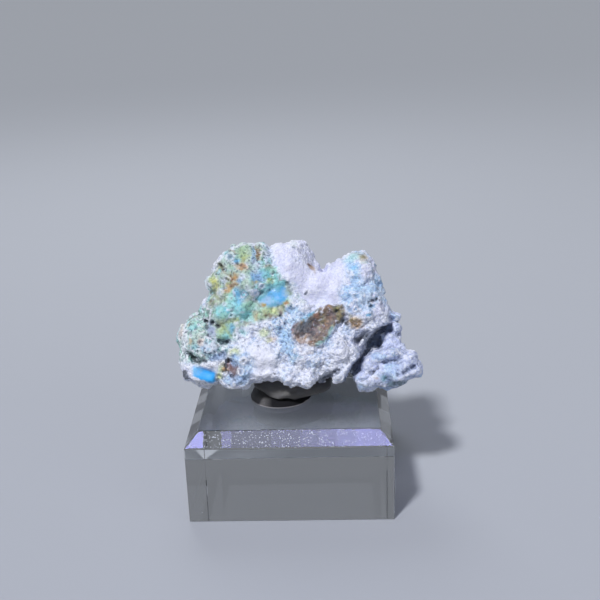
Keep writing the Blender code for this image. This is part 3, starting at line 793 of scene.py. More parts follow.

# %% [markdown]
# Patches laid by chance can't give this stone its own face, so what the eye finds on it is placed one
# by one: each spot is a soft ellipse of one pigment, laid like a dab of paint, and later dabs cover
# earlier ones. Broad weak dabs come first and set the drift of colour over the crown. Over them come
# the green stripe at its top, the ochre spots of iron down its middle and the yellow knob at its edge.

# %% Spots of the upper crown
UPPER_CROWN_SPOTS = (  # pigment, centre (across, up), radii, slope in degrees, strength
    ("aqua", (-17.2, 19.8), (3.6, 2.6), 20, 0.6), ("aqua", (-12.4, 18.8), (3.4, 2.2), 0, 0.55),
    ("aqua", (-9.6, 28.4), (3.0, 1.4), 0, 0.4), ("aqua", (-15.6, 22.4), (2.6, 2.2), 0, 0.5),
    ("lime", (-12.4, 27.4), (2.6, 1.6), 0, 0.35), ("aqua", (-8.4, 25.6), (2.4, 1.2), 20, 0.6),
    ("lime", (-18.6, 22.6), (2.4, 1.6), 0, 0.45), ("lime", (-8.4, 18.6), (3.8, 1.3), 8, 0.5),
    ("ice", (-22.8, 10.2), (2.8, 1.6), 0, 0.7), ("white", (-22.4, 10.4), (2.2, 1.1), 0, 0.45),
    ("sky", (-14.6, 7.0), (2.6, 2.6), 0, 0.3), ("pale_blue", (-15.0, 2.4), (2.6, 1.6), 0, 0.6),
    ("sea_green", (-13.9, 33.4), (1.7, 2.6), 0, 0.9), ("sage", (-12.3, 33.2), (0.8, 2.2), 0, 0.8),
    ("pale_blue", (-11.3, 32.6), (0.7, 1.9), 0, 0.6), ("lime", (-13.9, 33.0), (1.3, 2.2), 0, 0.5),
    ("lime", (-13.8, 32.0), (1.1, 0.9), 0, 0.9), ("olive", (-13.9, 33.2), (1.5, 2.4), 0, 0.22),
    ("olive", (-13.7, 31.6), (0.9, 0.7), 0, 0.5), ("aqua", (-17.3, 32.8), (1.9, 1.4), 0, 0.5),
    ("sky", (-15.9, 31.5), (1.2, 0.7), 8, 0.95), ("white", (-16.7, 30.9), (1.0, 0.35), 12, 0.8),
    ("sage", (-18.0, 31.2), (1.3, 1.6), 30, 0.8), ("sea_green", (-16.5, 29.9), (1.2, 0.5), 0, 0.6),
    ("white", (-13.0, 30.4), (0.7, 0.4), 0, 0.8), ("white", (-12.7, 29.6), (0.7, 0.3), -20, 0.8),
    ("ochre", (-14.3, 30.1), (1.7, 0.8), -8, 1.0), ("brown", (-14.7, 30.3), (0.55, 0.4), 0, 0.95),
    ("rust", (-13.7, 30.0), (0.4, 0.3), 0, 0.7), ("olive", (-17.2, 34.3), (0.8, 0.35), -10, 0.9),
    ("olive", (-19.6, 30.2), (1.5, 1.1), -40, 0.45), ("slate", (-17.0, 32.9), (1.4, 1.0), 0, 0.4),
    ("tan", (-16.0, 33.9), (0.9, 0.25), -35, 0.7), ("ochre", (-10.3, 33.3), (0.45, 1.3), -5, 0.9),
    ("brown", (-10.2, 32.9), (0.28, 0.7), 0, 0.8), ("tan", (-10.1, 31.8), (0.4, 0.5), 0, 0.8),
    ("olive", (-10.9, 35.0), (0.3, 0.5), 15, 0.8), ("chalk", (-7.9, 34.2), (1.4, 1.6), 0, 0.6),
    ("grey_green", (-8.5, 34.0), (0.8, 0.9), 0, 0.45), ("char", (-8.9, 33.2), (0.35, 0.25), 0, 0.8),
    ("chalk", (-10.4, 30.2), (1.4, 1.1), 0, 0.6), ("sea_green", (-11.6, 30.0), (0.8, 0.6), 0, 0.4),
    ("aqua", (-9.0, 29.0), (1.1, 0.9), 0, 0.8), ("sea_green", (-7.2, 29.6), (1.4, 0.9), -15, 0.95),
    ("grey_green", (-7.5, 29.7), (0.8, 0.4), -15, 0.5), ("tan", (-7.9, 30.3), (0.9, 0.35), 0, 0.9),
    ("aqua", (-5.9, 30.2), (0.5, 0.5), 0, 0.5), ("pale_blue", (-10.6, 27.7), (2.3, 1.2), 0, 0.9),
    ("sky", (-11.5, 27.5), (0.5, 0.5), 0, 0.6), ("aqua", (-8.3, 27.7), (1.1, 0.7), 0, 0.8),
    ("sage", (-12.8, 27.4), (0.8, 1.3), 0, 0.8), ("lime", (-7.1, 26.7), (1.0, 0.45), 10, 0.85),
    ("tan", (-11.0, 26.3), (0.9, 0.4), 10, 0.9), ("yellow", (-10.4, 26.6), (0.35, 0.2), 0, 0.6),
    ("olive", (-8.8, 26.0), (0.6, 0.3), 0, 0.5), ("chalk", (-14.2, 27.4), (0.8, 0.9), 0, 0.8),
    ("pale_blue", (-14.9, 26.3), (0.8, 0.6), 0, 0.7), ("sage", (-13.0, 25.4), (1.4, 0.9), 0, 0.8),
    ("ochre", (-16.3, 27.5), (1.3, 1.0), 0, 1.0), ("rust", (-16.7, 27.2), (0.5, 0.35), 0, 0.7),
    ("brown", (-18.0, 27.0), (0.4, 0.3), 0, 0.8), ("ochre", (-16.6, 25.4), (1.4, 0.8), 8, 1.0),
    ("brown", (-16.6, 25.5), (0.55, 0.4), 0, 0.9), ("rust", (-17.2, 25.7), (0.3, 0.2), 0, 0.7),
    ("ochre", (-17.7, 24.1), (1.2, 0.6), 25, 0.95), ("ochre", (-14.7, 24.6), (0.7, 0.35), 0, 0.8),
    ("yellow", (-14.4, 24.5), (0.3, 0.2), 0, 0.6), ("lime", (-21.1, 27.0), (1.1, 1.4), 20, 0.8),
    ("yellow", (-20.6, 25.8), (0.9, 1.5), 12, 0.95), ("lime", (-18.9, 25.4), (0.7, 0.5), 0, 0.8),
    ("lime", (-20.3, 24.4), (0.5, 0.5), 0, 0.5), ("olive", (-21.3, 24.1), (0.6, 0.4), 0, 0.85),
    ("olive", (-20.6, 23.1), (0.8, 0.6), 0, 0.5),
)
print(len(UPPER_CROWN_SPOTS), "spots of the upper crown")

# %% [markdown]
# The lower crown is the bluest part. Two turquoise pools lie beside a sky blue one, with lime green
# towards the foot and small white flecks, partly crust that breaks through and partly painted
# highlights.

# %% Spots of the lower crown
LOWER_CROWN_SPOTS = (  # pigment, centre (across, up), radii, slope in degrees, strength
    ("sky", (-14.9, 22.2), (1.3, 2.5), 4, 0.95), ("aqua", (-16.6, 21.9), (1.2, 1.6), 10, 0.7),
    ("lavender", (-16.0, 23.3), (0.4, 0.8), 0, 0.8), ("sky", (-13.3, 23.4), (0.8, 0.7), 0, 0.7),
    # The small white dabs of the lower crown are partly painted highlights
    ("white", (-14.1, 23.0), (0.35, 0.25), 0, 0.9), ("tan", (-13.3, 21.6), (0.9, 0.8), 0, 0.45),
    ("sea_green", (-12.8, 20.4), (1.7, 1.0), 0, 0.85),
    ("deep_teal", (-13.4, 19.7), (0.35, 0.3), 0, 0.6), ("chalk", (-11.7, 24.3), (1.0, 0.6), 10, 0.7),
    ("lavender", (-9.5, 25.3), (1.1, 0.7), -20, 0.8), ("lavender", (-10.9, 23.5), (1.1, 0.7), 0, 0.8),
    ("char", (-11.1, 22.8), (0.5, 0.13), 0, 0.8), ("olive", (-19.5, 22.1), (1.1, 0.7), 0, 0.6),
    ("olive", (-21.3, 20.9), (1.2, 0.9), -10, 0.65), ("brown", (-20.1, 20.6), (0.7, 0.5), 0, 0.6),
    ("brown", (-21.6, 21.6), (0.4, 0.5), 0, 0.5), ("lavender", (-18.6, 20.9), (0.6, 0.6), 0, 0.8),
    ("aqua", (-19.0, 19.2), (1.9, 1.4), 0, 0.95), ("sky", (-18.2, 19.7), (0.6, 0.5), 0, 0.5),
    ("white", (-17.4, 19.7), (0.6, 0.25), -20, 0.8), ("aqua", (-15.3, 19.4), (0.8, 1.1), 0, 0.8),
    ("white", (-14.0, 18.7), (0.6, 0.2), 10, 0.8), ("aqua", (-12.8, 18.2), (1.6, 0.8), 0, 0.9),
    ("aqua", (-13.9, 17.1), (0.9, 0.8), 0, 0.9), ("lime", (-17.4, 16.8), (1.9, 0.7), 5, 0.7),
    ("lime", (-15.5, 17.1), (0.6, 0.6), 0, 0.6), ("sea_green", (-18.6, 17.9), (1.2, 0.6), 0, 0.6),
    ("sage", (-9.8, 20.3), (0.9, 0.9), 0, 0.7), ("tan", (-9.9, 20.8), (0.5, 0.4), 0, 0.5),
    ("ochre", (-8.9, 20.6), (0.55, 0.5), 0, 0.95), ("yellow", (-8.9, 20.8), (0.3, 0.25), 0, 0.6),
    ("ochre", (-3.2, 21.2), (0.8, 0.35), 5, 1.0), ("rust", (-3.3, 21.1), (0.35, 0.2), 0, 0.6),
)
print(len(LOWER_CROWN_SPOTS), "spots of the lower crown")

# %% [markdown]
# Under the blue pocket runs a strip of yellow-green balls with brown gaps between them. Dabs of lime
# make the balls, and small dark dabs of brown, rust and plum the gaps.

# %% Spots of the green strip
STRIP_SPOTS = (  # pigment, centre (across, up), radii, slope in degrees, strength
    ("lime", (-6.6, 19.5), (2.3, 0.9), 5, 0.75), ("olive", (-8.6, 18.8), (0.8, 0.8), 0, 0.5),
    ("yellow", (-6.6, 19.6), (0.9, 0.4), 0, 0.5), ("tan", (-4.9, 19.6), (0.8, 0.9), 0, 0.7),
    ("tan", (-10.9, 18.5), (0.7, 1.0), 0, 0.8), ("ochre", (-10.6, 17.6), (0.5, 0.6), 0, 0.5),
    ("olive", (-6.4, 18.0), (2.2, 0.5), 0, 0.6), ("brown", (-8.2, 18.3), (0.3, 0.35), 0, 0.9),
    ("brown", (-7.5, 18.4), (0.25, 0.3), 0, 0.8), ("rust", (-7.2, 17.7), (0.3, 0.4), 0, 0.9),
    ("plum", (-4.7, 18.7), (0.35, 0.6), 0, 0.9), ("brown", (-5.9, 17.6), (0.3, 0.25), 0, 0.8),
    ("tan", (-12.6, 16.2), (0.9, 0.35), 20, 0.7), ("white", (-3.8, 18.1), (0.6, 0.4), 30, 0.8),
)
print(len(STRIP_SPOTS), "spots of the green strip")

# %% [markdown]
# The blue pocket is paler at its lower left and deepest at its upper right, and a turquoise lip runs
# along its top. A few broad dabs are enough for that, as the mineral is smooth and glassy there.

# %% Spots round the blue pocket
BLUE_POCKET_SPOTS = (  # pigment, centre (across, up), radii, slope in degrees, strength
    ("azure", (-5.1, 22.9), (1.3, 1.0), 0, 0.5), ("sky", (-5.2, 24.0), (0.9, 0.4), 0, 0.5),
    ("ice", (-3.8, 23.6), (0.6, 0.7), 0, 0.7), ("ice", (-8.4, 21.8), (1.4, 0.7), 20, 0.75),
    ("ice", (-7.2, 21.2), (1.1, 0.6), 10, 0.6), ("aqua", (-6.2, 25.5), (1.7, 0.6), 18, 0.9),
    ("teal", (-4.7, 25.8), (0.7, 0.7), 30, 0.6), ("grey_green", (-2.8, 24.9), (0.6, 0.9), 0, 0.7),
    ("sage", (-2.9, 23.5), (0.6, 0.7), 0, 0.8), ("sage", (-1.6, 25.2), (0.9, 0.9), 0, 0.4),
    ("mint", (-0.4, 22.7), (0.7, 0.7), 0, 0.6), ("sage", (0.7, 21.5), (1.1, 0.5), 0, 0.7),
)
print(len(BLUE_POCKET_SPOTS), "spots round the blue pocket")

# %% [markdown]
# The powdery sheet is nearly plain. Weak grey and peach dabs keep it from looking like plaster, and
# it has one clear mark, a small ochre and brown notch near its right edge.

# %% Spots of the powdery sheet
POWDER_SPOTS = (  # pigment, centre (across, up), radii, slope in degrees, strength
    ("sage", (-1.5, 35.7), (0.8, 1.0), 0, 0.55), ("slate", (-1.6, 34.7), (0.3, 0.2), 0, 0.7),
    ("slate", (-0.9, 31.8), (1.6, 0.7), 0, 0.25), ("slate", (-2.0, 33.4), (3.2, 1.2), -10, 0.16),
    ("slate", (4.0, 31.4), (1.2, 1.8), 20, 0.22), ("slate", (1.2, 34.4), (1.8, 1.2), -20, 0.25),
    ("slate", (8.2, 30.6), (2.4, 0.7), 15, 0.2), ("slate", (0.4, 35.2), (0.25, 0.2), 0, 0.7),
    ("peach", (-5.6, 33.6), (1.0, 0.6), 20, 0.25), ("peach", (-3.0, 29.4), (1.2, 0.5), 10, 0.2),
    ("ochre", (2.9, 29.9), (0.45, 1.1), 28, 0.8), ("brown", (2.4, 30.7), (0.5, 0.4), 0, 1.0),
    ("tan", (3.5, 28.7), (0.3, 0.5), 20, 0.7), ("slate", (3.1, 27.9), (0.25, 0.3), 0, 0.4),
    ("char", (1.4, 23.7), (0.25, 0.2), 0, 0.9), ("slate", (0.8, 26.3), (0.25, 0.2), 0, 0.7),
    ("char", (-3.2, 25.9), (0.35, 0.25), 0, 0.8),
)
print(len(POWDER_SPOTS), "spots of the powdery sheet")

# %% [markdown]
# The peak is pale blue with a sage green cap, lavender swellings, a row of pits at its right with
# black painted shade in them, and a golden ball at its foot. Thin grey dabs are painted shade in the
# shallow grooves across it.

# %% Spots of the right peak
PEAK_SPOTS = (  # pigment, centre (across, up), radii, slope in degrees, strength
    ("sage", (13.8, 32.6), (2.2, 1.1), 0, 0.8), ("aqua", (12.5, 32.0), (1.8, 1.1), 20, 0.55),
    ("pale_azure", (13.4, 29.4), (1.6, 1.6), 0, 0.25), ("tan", (15.6, 32.2), (1.2, 1.3), 15, 0.95),
    ("olive", (15.3, 32.5), (0.8, 0.7), 0, 0.8), ("grey_green", (13.6, 33.2), (2.2, 0.9), 0, 0.3),
    ("slate", (17.0, 18.3), (1.0, 0.9), 0, 0.3), ("sage", (15.7, 31.1), (0.9, 0.4), 0, 0.7),
    ("sky", (13.5, 29.6), (0.8, 1.0), 10, 0.65), ("pale_blue", (13.6, 28.2), (0.5, 0.8), 0, 0.8),
    ("lavender", (16.4, 28.4), (1.5, 1.7), 0, 0.8), ("pale_blue", (12.2, 22.8), (2.0, 1.1), 10, 0.6),
    # From here, thin slate dabs are painted shade in the grooves, and char dabs painted shade in the
    # pits
    ("pale_blue", (16.6, 25.0), (2.2, 1.0), 0, 0.6), ("slate", (11.8, 22.2), (1.2, 0.16), 0, 0.5),
    ("slate", (14.4, 23.7), (1.6, 0.16), -12, 0.5), ("slate", (13.4, 21.4), (1.0, 0.2), 0, 0.45),
    ("slate", (15.0, 25.7), (1.1, 0.16), 10, 0.4), ("char", (17.0, 21.3), (0.5, 0.2), 15, 0.9),
    ("char", (18.3, 21.7), (0.5, 0.25), 30, 0.9), ("char", (18.8, 22.4), (0.2, 0.3), 0, 0.9),
    ("char", (19.5, 21.9), (0.2, 0.25), 0, 0.8), ("sky", (17.4, 20.4), (0.9, 0.5), 0, 0.6),
    ("sky", (17.0, 18.3), (0.8, 0.7), 0, 0.7), ("slate", (17.4, 20.4), (0.35, 0.25), 0, 0.9),
    ("slate", (11.7, 19.9), (0.3, 0.25), 0, 0.9), ("lavender", (19.8, 19.4), (1.7, 1.8), 0, 0.85),
    ("sage", (12.4, 18.0), (0.6, 0.4), 0, 0.8), ("ochre", (13.6, 16.6), (1.9, 1.4), -12, 1.0),
    ("yellow", (13.3, 17.0), (0.9, 0.5), 0, 0.35), ("ochre", (13.8, 16.3), (1.6, 1.2), -12, 0.9),
    ("brown", (14.2, 15.7), (0.6, 0.3), -10, 0.6), ("olive", (13.0, 16.9), (0.9, 0.5), 0, 0.5),
    ("peach", (15.0, 15.5), (0.5, 0.6), 0, 0.7), ("olive", (12.5, 17.4), (0.35, 0.3), 0, 0.9),
    ("char", (10.3, 17.0), (0.6, 0.3), 20, 1.0), ("char", (11.4, 16.1), (0.22, 0.5), 10, 0.95),
    ("slate", (17.3, 15.0), (0.6, 0.3), 20, 0.8),
)
print(len(PEAK_SPOTS), "spots of the right peak")

# %% [markdown]
# The waist is bluer than the belly, which is nearly white. The belly's few tints are weak, so most
# of its look is left to the relief and to the finish.

# %% Spots of the waist and belly
BELLY_SPOTS = (  # pigment, centre (across, up), radii, slope in degrees, strength
    ("pale_blue", (-1.9, 19.4), (1.5, 1.0), 0, 0.75), ("pale_blue", (0.9, 18.5), (0.8, 0.7), 0, 0.7),
    ("ice", (-1.2, 17.1), (1.6, 0.6), 12, 0.9), ("pale_blue", (-4.0, 12.9), (2.1, 3.1), 5, 0.85),
    ("sky", (-4.1, 13.2), (0.6, 0.9), 0, 0.35), ("pale_blue", (-3.6, 10.8), (0.9, 0.9), 0, 0.5),
    ("lime", (-8.6, 14.0), (1.5, 1.0), 20, 0.85), ("ochre", (-6.9, 12.4), (1.2, 0.8), 0, 0.7),
    ("lime", (-7.8, 12.2), (0.9, 0.6), 0, 0.7), ("red", (-1.9, 14.5), (0.3, 0.5), 30, 0.6),
    ("aqua", (-13.6, 14.1), (0.9, 0.9), 0, 0.65), ("lavender", (-13.2, 15.0), (1.0, 0.5), 0, 0.6),
    ("slate", (-11.2, 14.9), (0.9, 0.5), 0, 0.45), ("pale_azure", (-1.4, 7.6), (1.3, 0.9), 10, 0.5),
    ("slate", (-1.5, 6.2), (0.5, 0.25), 0, 0.7), ("teal", (0.4, 7.8), (0.5, 0.25), 0, 0.7),
    ("rust", (0.0, 9.3), (0.7, 0.22), 0, 0.5), ("peach", (2.3, 8.8), (1.1, 0.4), 0, 0.8),
    ("slate", (2.2, 5.9), (0.6, 0.3), 0, 0.6), ("slate", (-5.4, 6.6), (0.25, 1.2), 5, 0.5),
    ("char", (-6.1, 3.8), (0.2, 0.4), 15, 0.9), ("pale_blue", (-4.6, 3.9), (0.9, 0.8), 0, 0.4),
    ("lavender", (10.0, 9.6), (3.4, 3.0), 20, 0.5), ("pale_blue", (7.2, 10.6), (1.3, 0.8), 20, 0.5),
    ("slate", (6.0, 10.3), (0.6, 0.3), 0, 0.4), ("slate", (-9.3, 4.0), (0.25, 0.25), 0, 0.5),
)
print(len(BELLY_SPOTS), "spots of the waist and belly")

# %% [markdown]
# The pocket is lined with iron minerals: rust in its middle, plum low down, olive at its upper right
# and grey-green at its left, with crumbs of white and peach crust on its lower lip.

# %% Spots of the brown pocket
BROWN_POCKET_SPOTS = (  # pigment, centre (across, up), radii, slope in degrees, strength
    ("grey_green", (1.0, 15.6), (2.1, 1.2), 38, 0.75), ("slate", (1.4, 16.8), (1.0, 0.4), 30, 0.6),
    ("chalk", (1.2, 15.2), (1.8, 1.0), 38, 0.3), ("char", (-0.8, 14.7), (0.35, 0.8), -25, 0.85),
    ("char", (0.6, 14.7), (0.2, 0.8), -25, 0.8), ("rust", (4.2, 18.1), (0.9, 0.8), 0, 0.85),
    ("olive", (5.2, 16.9), (0.8, 0.9), 0, 0.6), ("brown", (6.3, 19.4), (0.9, 0.6), 20, 0.8),
    ("plum", (7.4, 17.7), (1.3, 1.5), 0, 0.7), ("rust", (7.0, 17.4), (0.9, 1.0), 0, 0.5),
    ("rust", (6.2, 15.3), (1.2, 0.6), 20, 0.6), ("olive", (9.2, 19.5), (1.1, 0.9), 0, 0.9),
    ("yellow", (9.1, 19.8), (0.5, 0.3), 0, 0.25), ("olive", (9.5, 17.9), (0.7, 0.7), 0, 0.8),
    ("char", (8.8, 18.9), (0.3, 0.22), 0, 1.0), ("plum", (4.4, 13.2), (1.6, 1.3), -30, 0.6),
    ("plum", (6.0, 14.0), (1.0, 1.0), 0, 0.8), ("char", (2.9, 13.2), (0.3, 1.0), -10, 0.8),
    ("char", (2.6, 12.1), (0.5, 0.3), 0, 1.0), ("white", (5.2, 18.6), (0.25, 0.35), 0, 0.8),
    ("white", (5.0, 17.2), (0.35, 0.25), 0, 0.8), ("peach", (0.4, 12.5), (1.9, 1.4), -20, 0.9),
    ("white", (0.5, 13.2), (0.8, 0.4), 0, 0.9), ("ochre", (1.3, 12.7), (0.3, 0.5), 0, 0.95),
    ("rust", (-0.6, 13.1), (0.5, 0.3), 0, 0.7), ("ochre", (-0.4, 12.0), (0.5, 0.25), -10, 0.7),
    ("rust", (0.9, 11.5), (0.5, 0.2), 0, 0.5), ("white", (1.8, 12.0), (0.4, 0.3), 0, 0.8),
    ("tan", (3.2, 10.9), (0.9, 0.3), 5, 0.5),
)
print(len(BROWN_POCKET_SPOTS), "spots of the brown pocket")

# %% [markdown]
# The flank carries the crown's greens down to the stone's foot. There the clear blue patch lies
# beside a small pocket of red, plum and olive crystals, which is built up from many little dabs.

# %% Spots of the left flank and foot
FLANK_SPOTS = (  # pigment, centre (across, up), radii, slope in degrees, strength
    # The first dab is painted shade over the middle of the flank, the second painted light on its left
    # edge
    ("grey_green", (-25.6, 11.6), (2.0, 2.6), 10, 0.35), ("white", (-28.2, 12.0), (0.8, 4.5), 0, 0.6),
    ("peach", (-28.9, 14.6), (0.6, 2.0), -8, 0.7), ("aqua", (-26.4, 15.2), (1.0, 0.6), 10, 0.85),
    ("mint", (-24.6, 17.0), (0.9, 0.7), 0, 0.5), ("sage", (-24.6, 13.2), (1.3, 1.2), 0, 0.8),
    ("ochre", (-26.7, 12.1), (0.4, 0.7), 0, 0.8), ("peach", (-24.2, 11.6), (0.7, 0.6), 0, 0.85),
    ("teal", (-25.8, 10.5), (0.7, 0.8), 0, 0.7), ("char", (-25.2, 11.4), (0.16, 0.25), 0, 0.8),
    ("sage", (-24.9, 8.9), (0.9, 0.8), 0, 0.6), ("iris", (-21.7, 14.6), (1.0, 1.6), 0, 0.7),
    ("slate", (-21.6, 14.5), (0.8, 1.4), 0, 0.6), ("pale_blue", (-23.5, 10.1), (1.1, 0.7), 10, 0.45),
    ("slate", (-22.6, 9.4), (0.6, 0.2), 40, 0.5), ("slate", (-22.8, 6.7), (0.8, 0.4), 0, 0.5),
    ("cream", (-21.2, 6.2), (2.0, 1.0), 5, 0.9), ("pale_azure", (-25.0, 4.8), (1.2, 0.9), -10, 0.8),
    ("ice", (-24.6, 5.5), (1.2, 0.3), 0, 0.6), ("pale_azure", (-25.4, 3.6), (0.6, 0.6), 0, 0.5),
    ("lime", (-19.7, 3.3), (0.7, 1.3), -5, 0.95), ("yellow", (-19.9, 2.9), (0.25, 0.5), 0, 0.6),
    ("slate", (-28.3, 3.7), (0.5, 0.7), 0, 0.85), ("slate", (-27.2, 3.0), (0.35, 0.8), 15, 0.8),
    ("teal", (-18.1, 9.4), (0.4, 0.5), 0, 0.7), ("lime", (-16.0, 9.2), (1.6, 1.1), 8, 0.9),
    ("yellow", (-16.9, 8.5), (0.5, 0.6), 0, 0.5), ("slate", (-15.6, 5.0), (2.8, 3.0), 20, 0.45),
    ("pale_blue", (-13.4, 5.2), (2.2, 1.8), 0, 0.6), ("grey_green", (-17.6, 7.5), (0.6, 0.6), 0, 0.9),
    ("olive", (-18.5, 5.6), (1.3, 1.7), 10, 0.95), ("char", (-18.6, 6.1), (0.4, 0.3), 30, 0.7),
    ("lime", (-19.3, 4.8), (0.8, 1.0), 0, 0.8), ("ochre", (-18.2, 5.1), (0.8, 0.5), 0, 1.0),
    ("char", (-17.9, 4.6), (0.7, 0.16), 15, 0.8), ("olive", (-18.9, 4.4), (0.4, 0.5), 0, 0.7),
    ("red", (-17.0, 5.9), (0.9, 1.4), 20, 1.0), ("rust", (-16.4, 5.2), (1.1, 0.9), 0, 0.95),
    ("plum", (-15.5, 5.0), (1.1, 1.1), 0, 1.0), ("red", (-15.5, 5.6), (0.3, 0.2), 0, 0.6),
    ("pale_blue", (-15.9, 7.4), (1.2, 1.4), 0, 1.0), ("slate", (-15.8, 6.9), (0.7, 0.7), 0, 0.4),
    ("plum", (-16.2, 3.6), (1.0, 1.4), 0, 0.9), ("char", (-16.2, 2.7), (0.45, 0.3), -20, 0.7),
    ("pale_blue", (-17.7, 2.6), (1.2, 0.9), 0, 0.9), ("pale_blue", (-14.0, 2.6), (1.7, 1.2), 0, 0.9),
    ("slate", (-14.6, 2.2), (2.6, 0.9), 0, 0.45), ("pale_blue", (-13.2, 8.7), (0.9, 0.6), 0, 0.7),
    ("pale_blue", (-11.7, 6.4), (0.7, 1.3), 0, 0.6), ("plum", (-13.2, 6.3), (0.5, 0.15), 0, 0.5),
    ("lime", (-19.4, 15.6), (0.7, 1.0), 10, 0.6), ("tan", (-19.3, 15.9), (0.4, 0.5), 0, 0.4),
    ("sky", (-16.6, 14.8), (0.5, 1.1), 15, 0.7), ("aqua", (-18.4, 13.0), (1.0, 0.7), 0, 0.7),
    ("lime", (-18.9, 14.6), (0.7, 1.4), -5, 0.6), ("olive", (-19.6, 16.4), (1.0, 0.7), 0, 0.4),
    ("pale_blue", (-20.6, 8.1), (2.0, 0.8), 8, 0.45), ("mint", (-16.0, 12.6), (1.2, 0.8), 0, 0.5),
)
print(len(FLANK_SPOTS), "spots of the left flank and foot")

# %% [markdown]
# The lobes at the right are lavender blue and quiet. Greyer dabs are painted shade in the folds
# between them, and a dark teal one is painted shade on their underside.

# %% Spots of the lobes
LOBE_SPOTS = (  # pigment, centre (across, up), radii, slope in degrees, strength
    ("slate", (13.4, 5.6), (1.6, 2.8), -35, 0.45), ("iris", (13.2, 5.0), (1.3, 2.6), -35, 0.35),
    ("white", (12.0, 8.6), (1.9, 1.8), 0, 0.7), ("pale_blue", (22.3, 4.9), (2.0, 1.9), 10, 0.6),
    ("ice", (21.3, 5.2), (0.9, 1.0), 0, 0.6), ("ice", (22.8, 3.2), (0.9, 0.5), 0, 0.7),
    # Painted shade in the folds between the lobes
    ("slate", (22.8, 7.1), (2.3, 0.35), 12, 0.85), ("slate", (25.8, 6.8), (0.9, 0.2), 0, 0.5),
    ("teal", (20.4, 3.0), (0.8, 0.7), 0, 0.8), ("white", (18.0, 3.3), (1.0, 0.5), -15, 0.8),
    ("rust", (18.5, 3.0), (0.7, 0.3), -10, 0.7), ("ice", (19.4, 3.6), (0.5, 0.6), 0, 0.6),
    # Painted shade on the lobes' underside
    ("deep_teal", (23.8, 1.5), (3.6, 0.8), 4, 0.95), ("ice", (15.4, 0.8), (2.0, 0.5), 0, 0.6),
    ("slate", (16.3, 7.2), (0.3, 0.8), 20, 0.4), ("white", (20.1, 13.6), (0.35, 0.3), 0, 0.9),
    ("white", (18.1, 10.1), (0.5, 0.5), 30, 0.8),
)
print(len(LOBE_SPOTS), "spots of the lobes")

# %% [markdown]
# Some marks are long and thin: the turquoise lip of the blue pocket, a rim of painted light round
# the crown, painted shade in the cracks and a few tongues of white crust. A streak is the same dab
# drawn along a line.

# %% Streaks
STREAKS = (  # pigment, route (across, up), width, strength
    ("teal", ((-10.2, 22.3), (-9.0, 23.3), (-7.9, 24.3), (-6.9, 25.0), (-5.4, 24.8),
     (-4.4, 25.6)), 0.6, 0.9),
    ("teal", ((1.0, 17.1), (2.2, 17.9), (3.3, 18.5)), 0.4, 0.6),
    ("sky", ((0.6, 17.4), (1.8, 18.1), (3.2, 18.8)), 0.35, 0.6),
    ("aqua", ((8.1, 15.2), (7.0, 13.2), (5.6, 11.7), (4.2, 11.0)), 0.55, 0.45),
    ("ice", ((8.9, 15.2), (7.6, 12.9), (6.2, 11.2)), 0.5, 0.6),
    # Painted shade in the crack at the left of the flank
    ("char", ((-27.6, 9.3), (-26.7, 9.0), (-26.2, 8.1)), 0.2, 0.9),
    ("char", ((-26.2, 8.1), (-25.7, 7.0), (-24.7, 6.5), (-24.0, 7.2), (-23.2, 7.1)), 0.32, 0.95),
    ("grey_green", ((-26.4, 8.6), (-25.4, 7.9), (-24.4, 7.7)), 0.4, 0.6),
    ("white", ((-26.0, 2.8), (-24.2, 1.9), (-22.4, 1.2), (-20.0, 1.2), (-19.0, 1.9)), 0.35, 0.95),
    # Painted shade in the cracks of the belly and the lobes
    ("char", ((4.6, 1.8), (6.8, 3.2), (8.6, 3.9), (9.6, 4.8)), 0.4, 0.9),
    ("slate", ((24.0, 3.7), (25.6, 4.1), (26.6, 5.1), (28.0, 5.6)), 0.4, 0.85),
    ("char", ((17.5, 4.0), (18.4, 4.6), (18.9, 5.1)), 0.25, 0.95),
    ("slate", ((14.4, 2.3), (16.4, 2.8)), 0.3, 0.8),
    ("olive", ((-19.5, 30.5), (-18.9, 29.6), (-18.3, 28.8)), 0.28, 0.9),
    ("white", ((14.7, 11.2), (15.6, 12.2), (16.5, 13.3), (17.6, 14.2), (18.8, 15.0)), 0.45, 0.8),
    # Painted light along the rim of the crown
    ("white", ((-22.9, 24.6), (-22.7, 27.0), (-20.2, 30.6), (-18.4, 34.0), (-15.0, 35.4)), 0.3, 0.6),
    ("white", ((-15.0, 35.4), (-12.0, 36.0), (-9.4, 35.6), (-7.4, 34.8), (-4.4, 36.2)), 0.3, 0.6),
    # Painted shade in a shallow crack low on the belly
    ("slate", ((-12.2, 3.3), (-11.0, 2.8), (-9.0, 2.6)), 0.25, 0.5),
    ("white", ((5.9, 20.6), (5.5, 19.7), (5.6, 19.0)), 0.22, 0.7),
    ("white", ((4.4, 19.5), (3.8, 18.6)), 0.2, 0.6), ("ice", ((1.9, 17.6), (1.5, 17.0)), 0.2, 0.6),
    ("char", ((4.9, 19.8), (4.6, 18.9), (4.9, 18.1)), 0.16, 0.5),
)
SPOTS = (
    UPPER_CROWN_SPOTS + LOWER_CROWN_SPOTS + STRIP_SPOTS + BLUE_POCKET_SPOTS + POWDER_SPOTS
    + PEAK_SPOTS + BELLY_SPOTS + BROWN_POCKET_SPOTS + FLANK_SPOTS + LOBE_SPOTS
)
print(len(SPOTS), "spots and", len(STREAKS), "streaks")

# %% [markdown]
# Painting starts with masks: how much each point belongs to each zone. Broad zones fade into one
# another, and small ones have a crisp edge. The crisp blue patch is read without ragged edges.

# %% Masks for the zones
def layer(colours, name, amount):
    return colours + (np.array(PIGMENTS[name]) - colours) * amount[:, None]


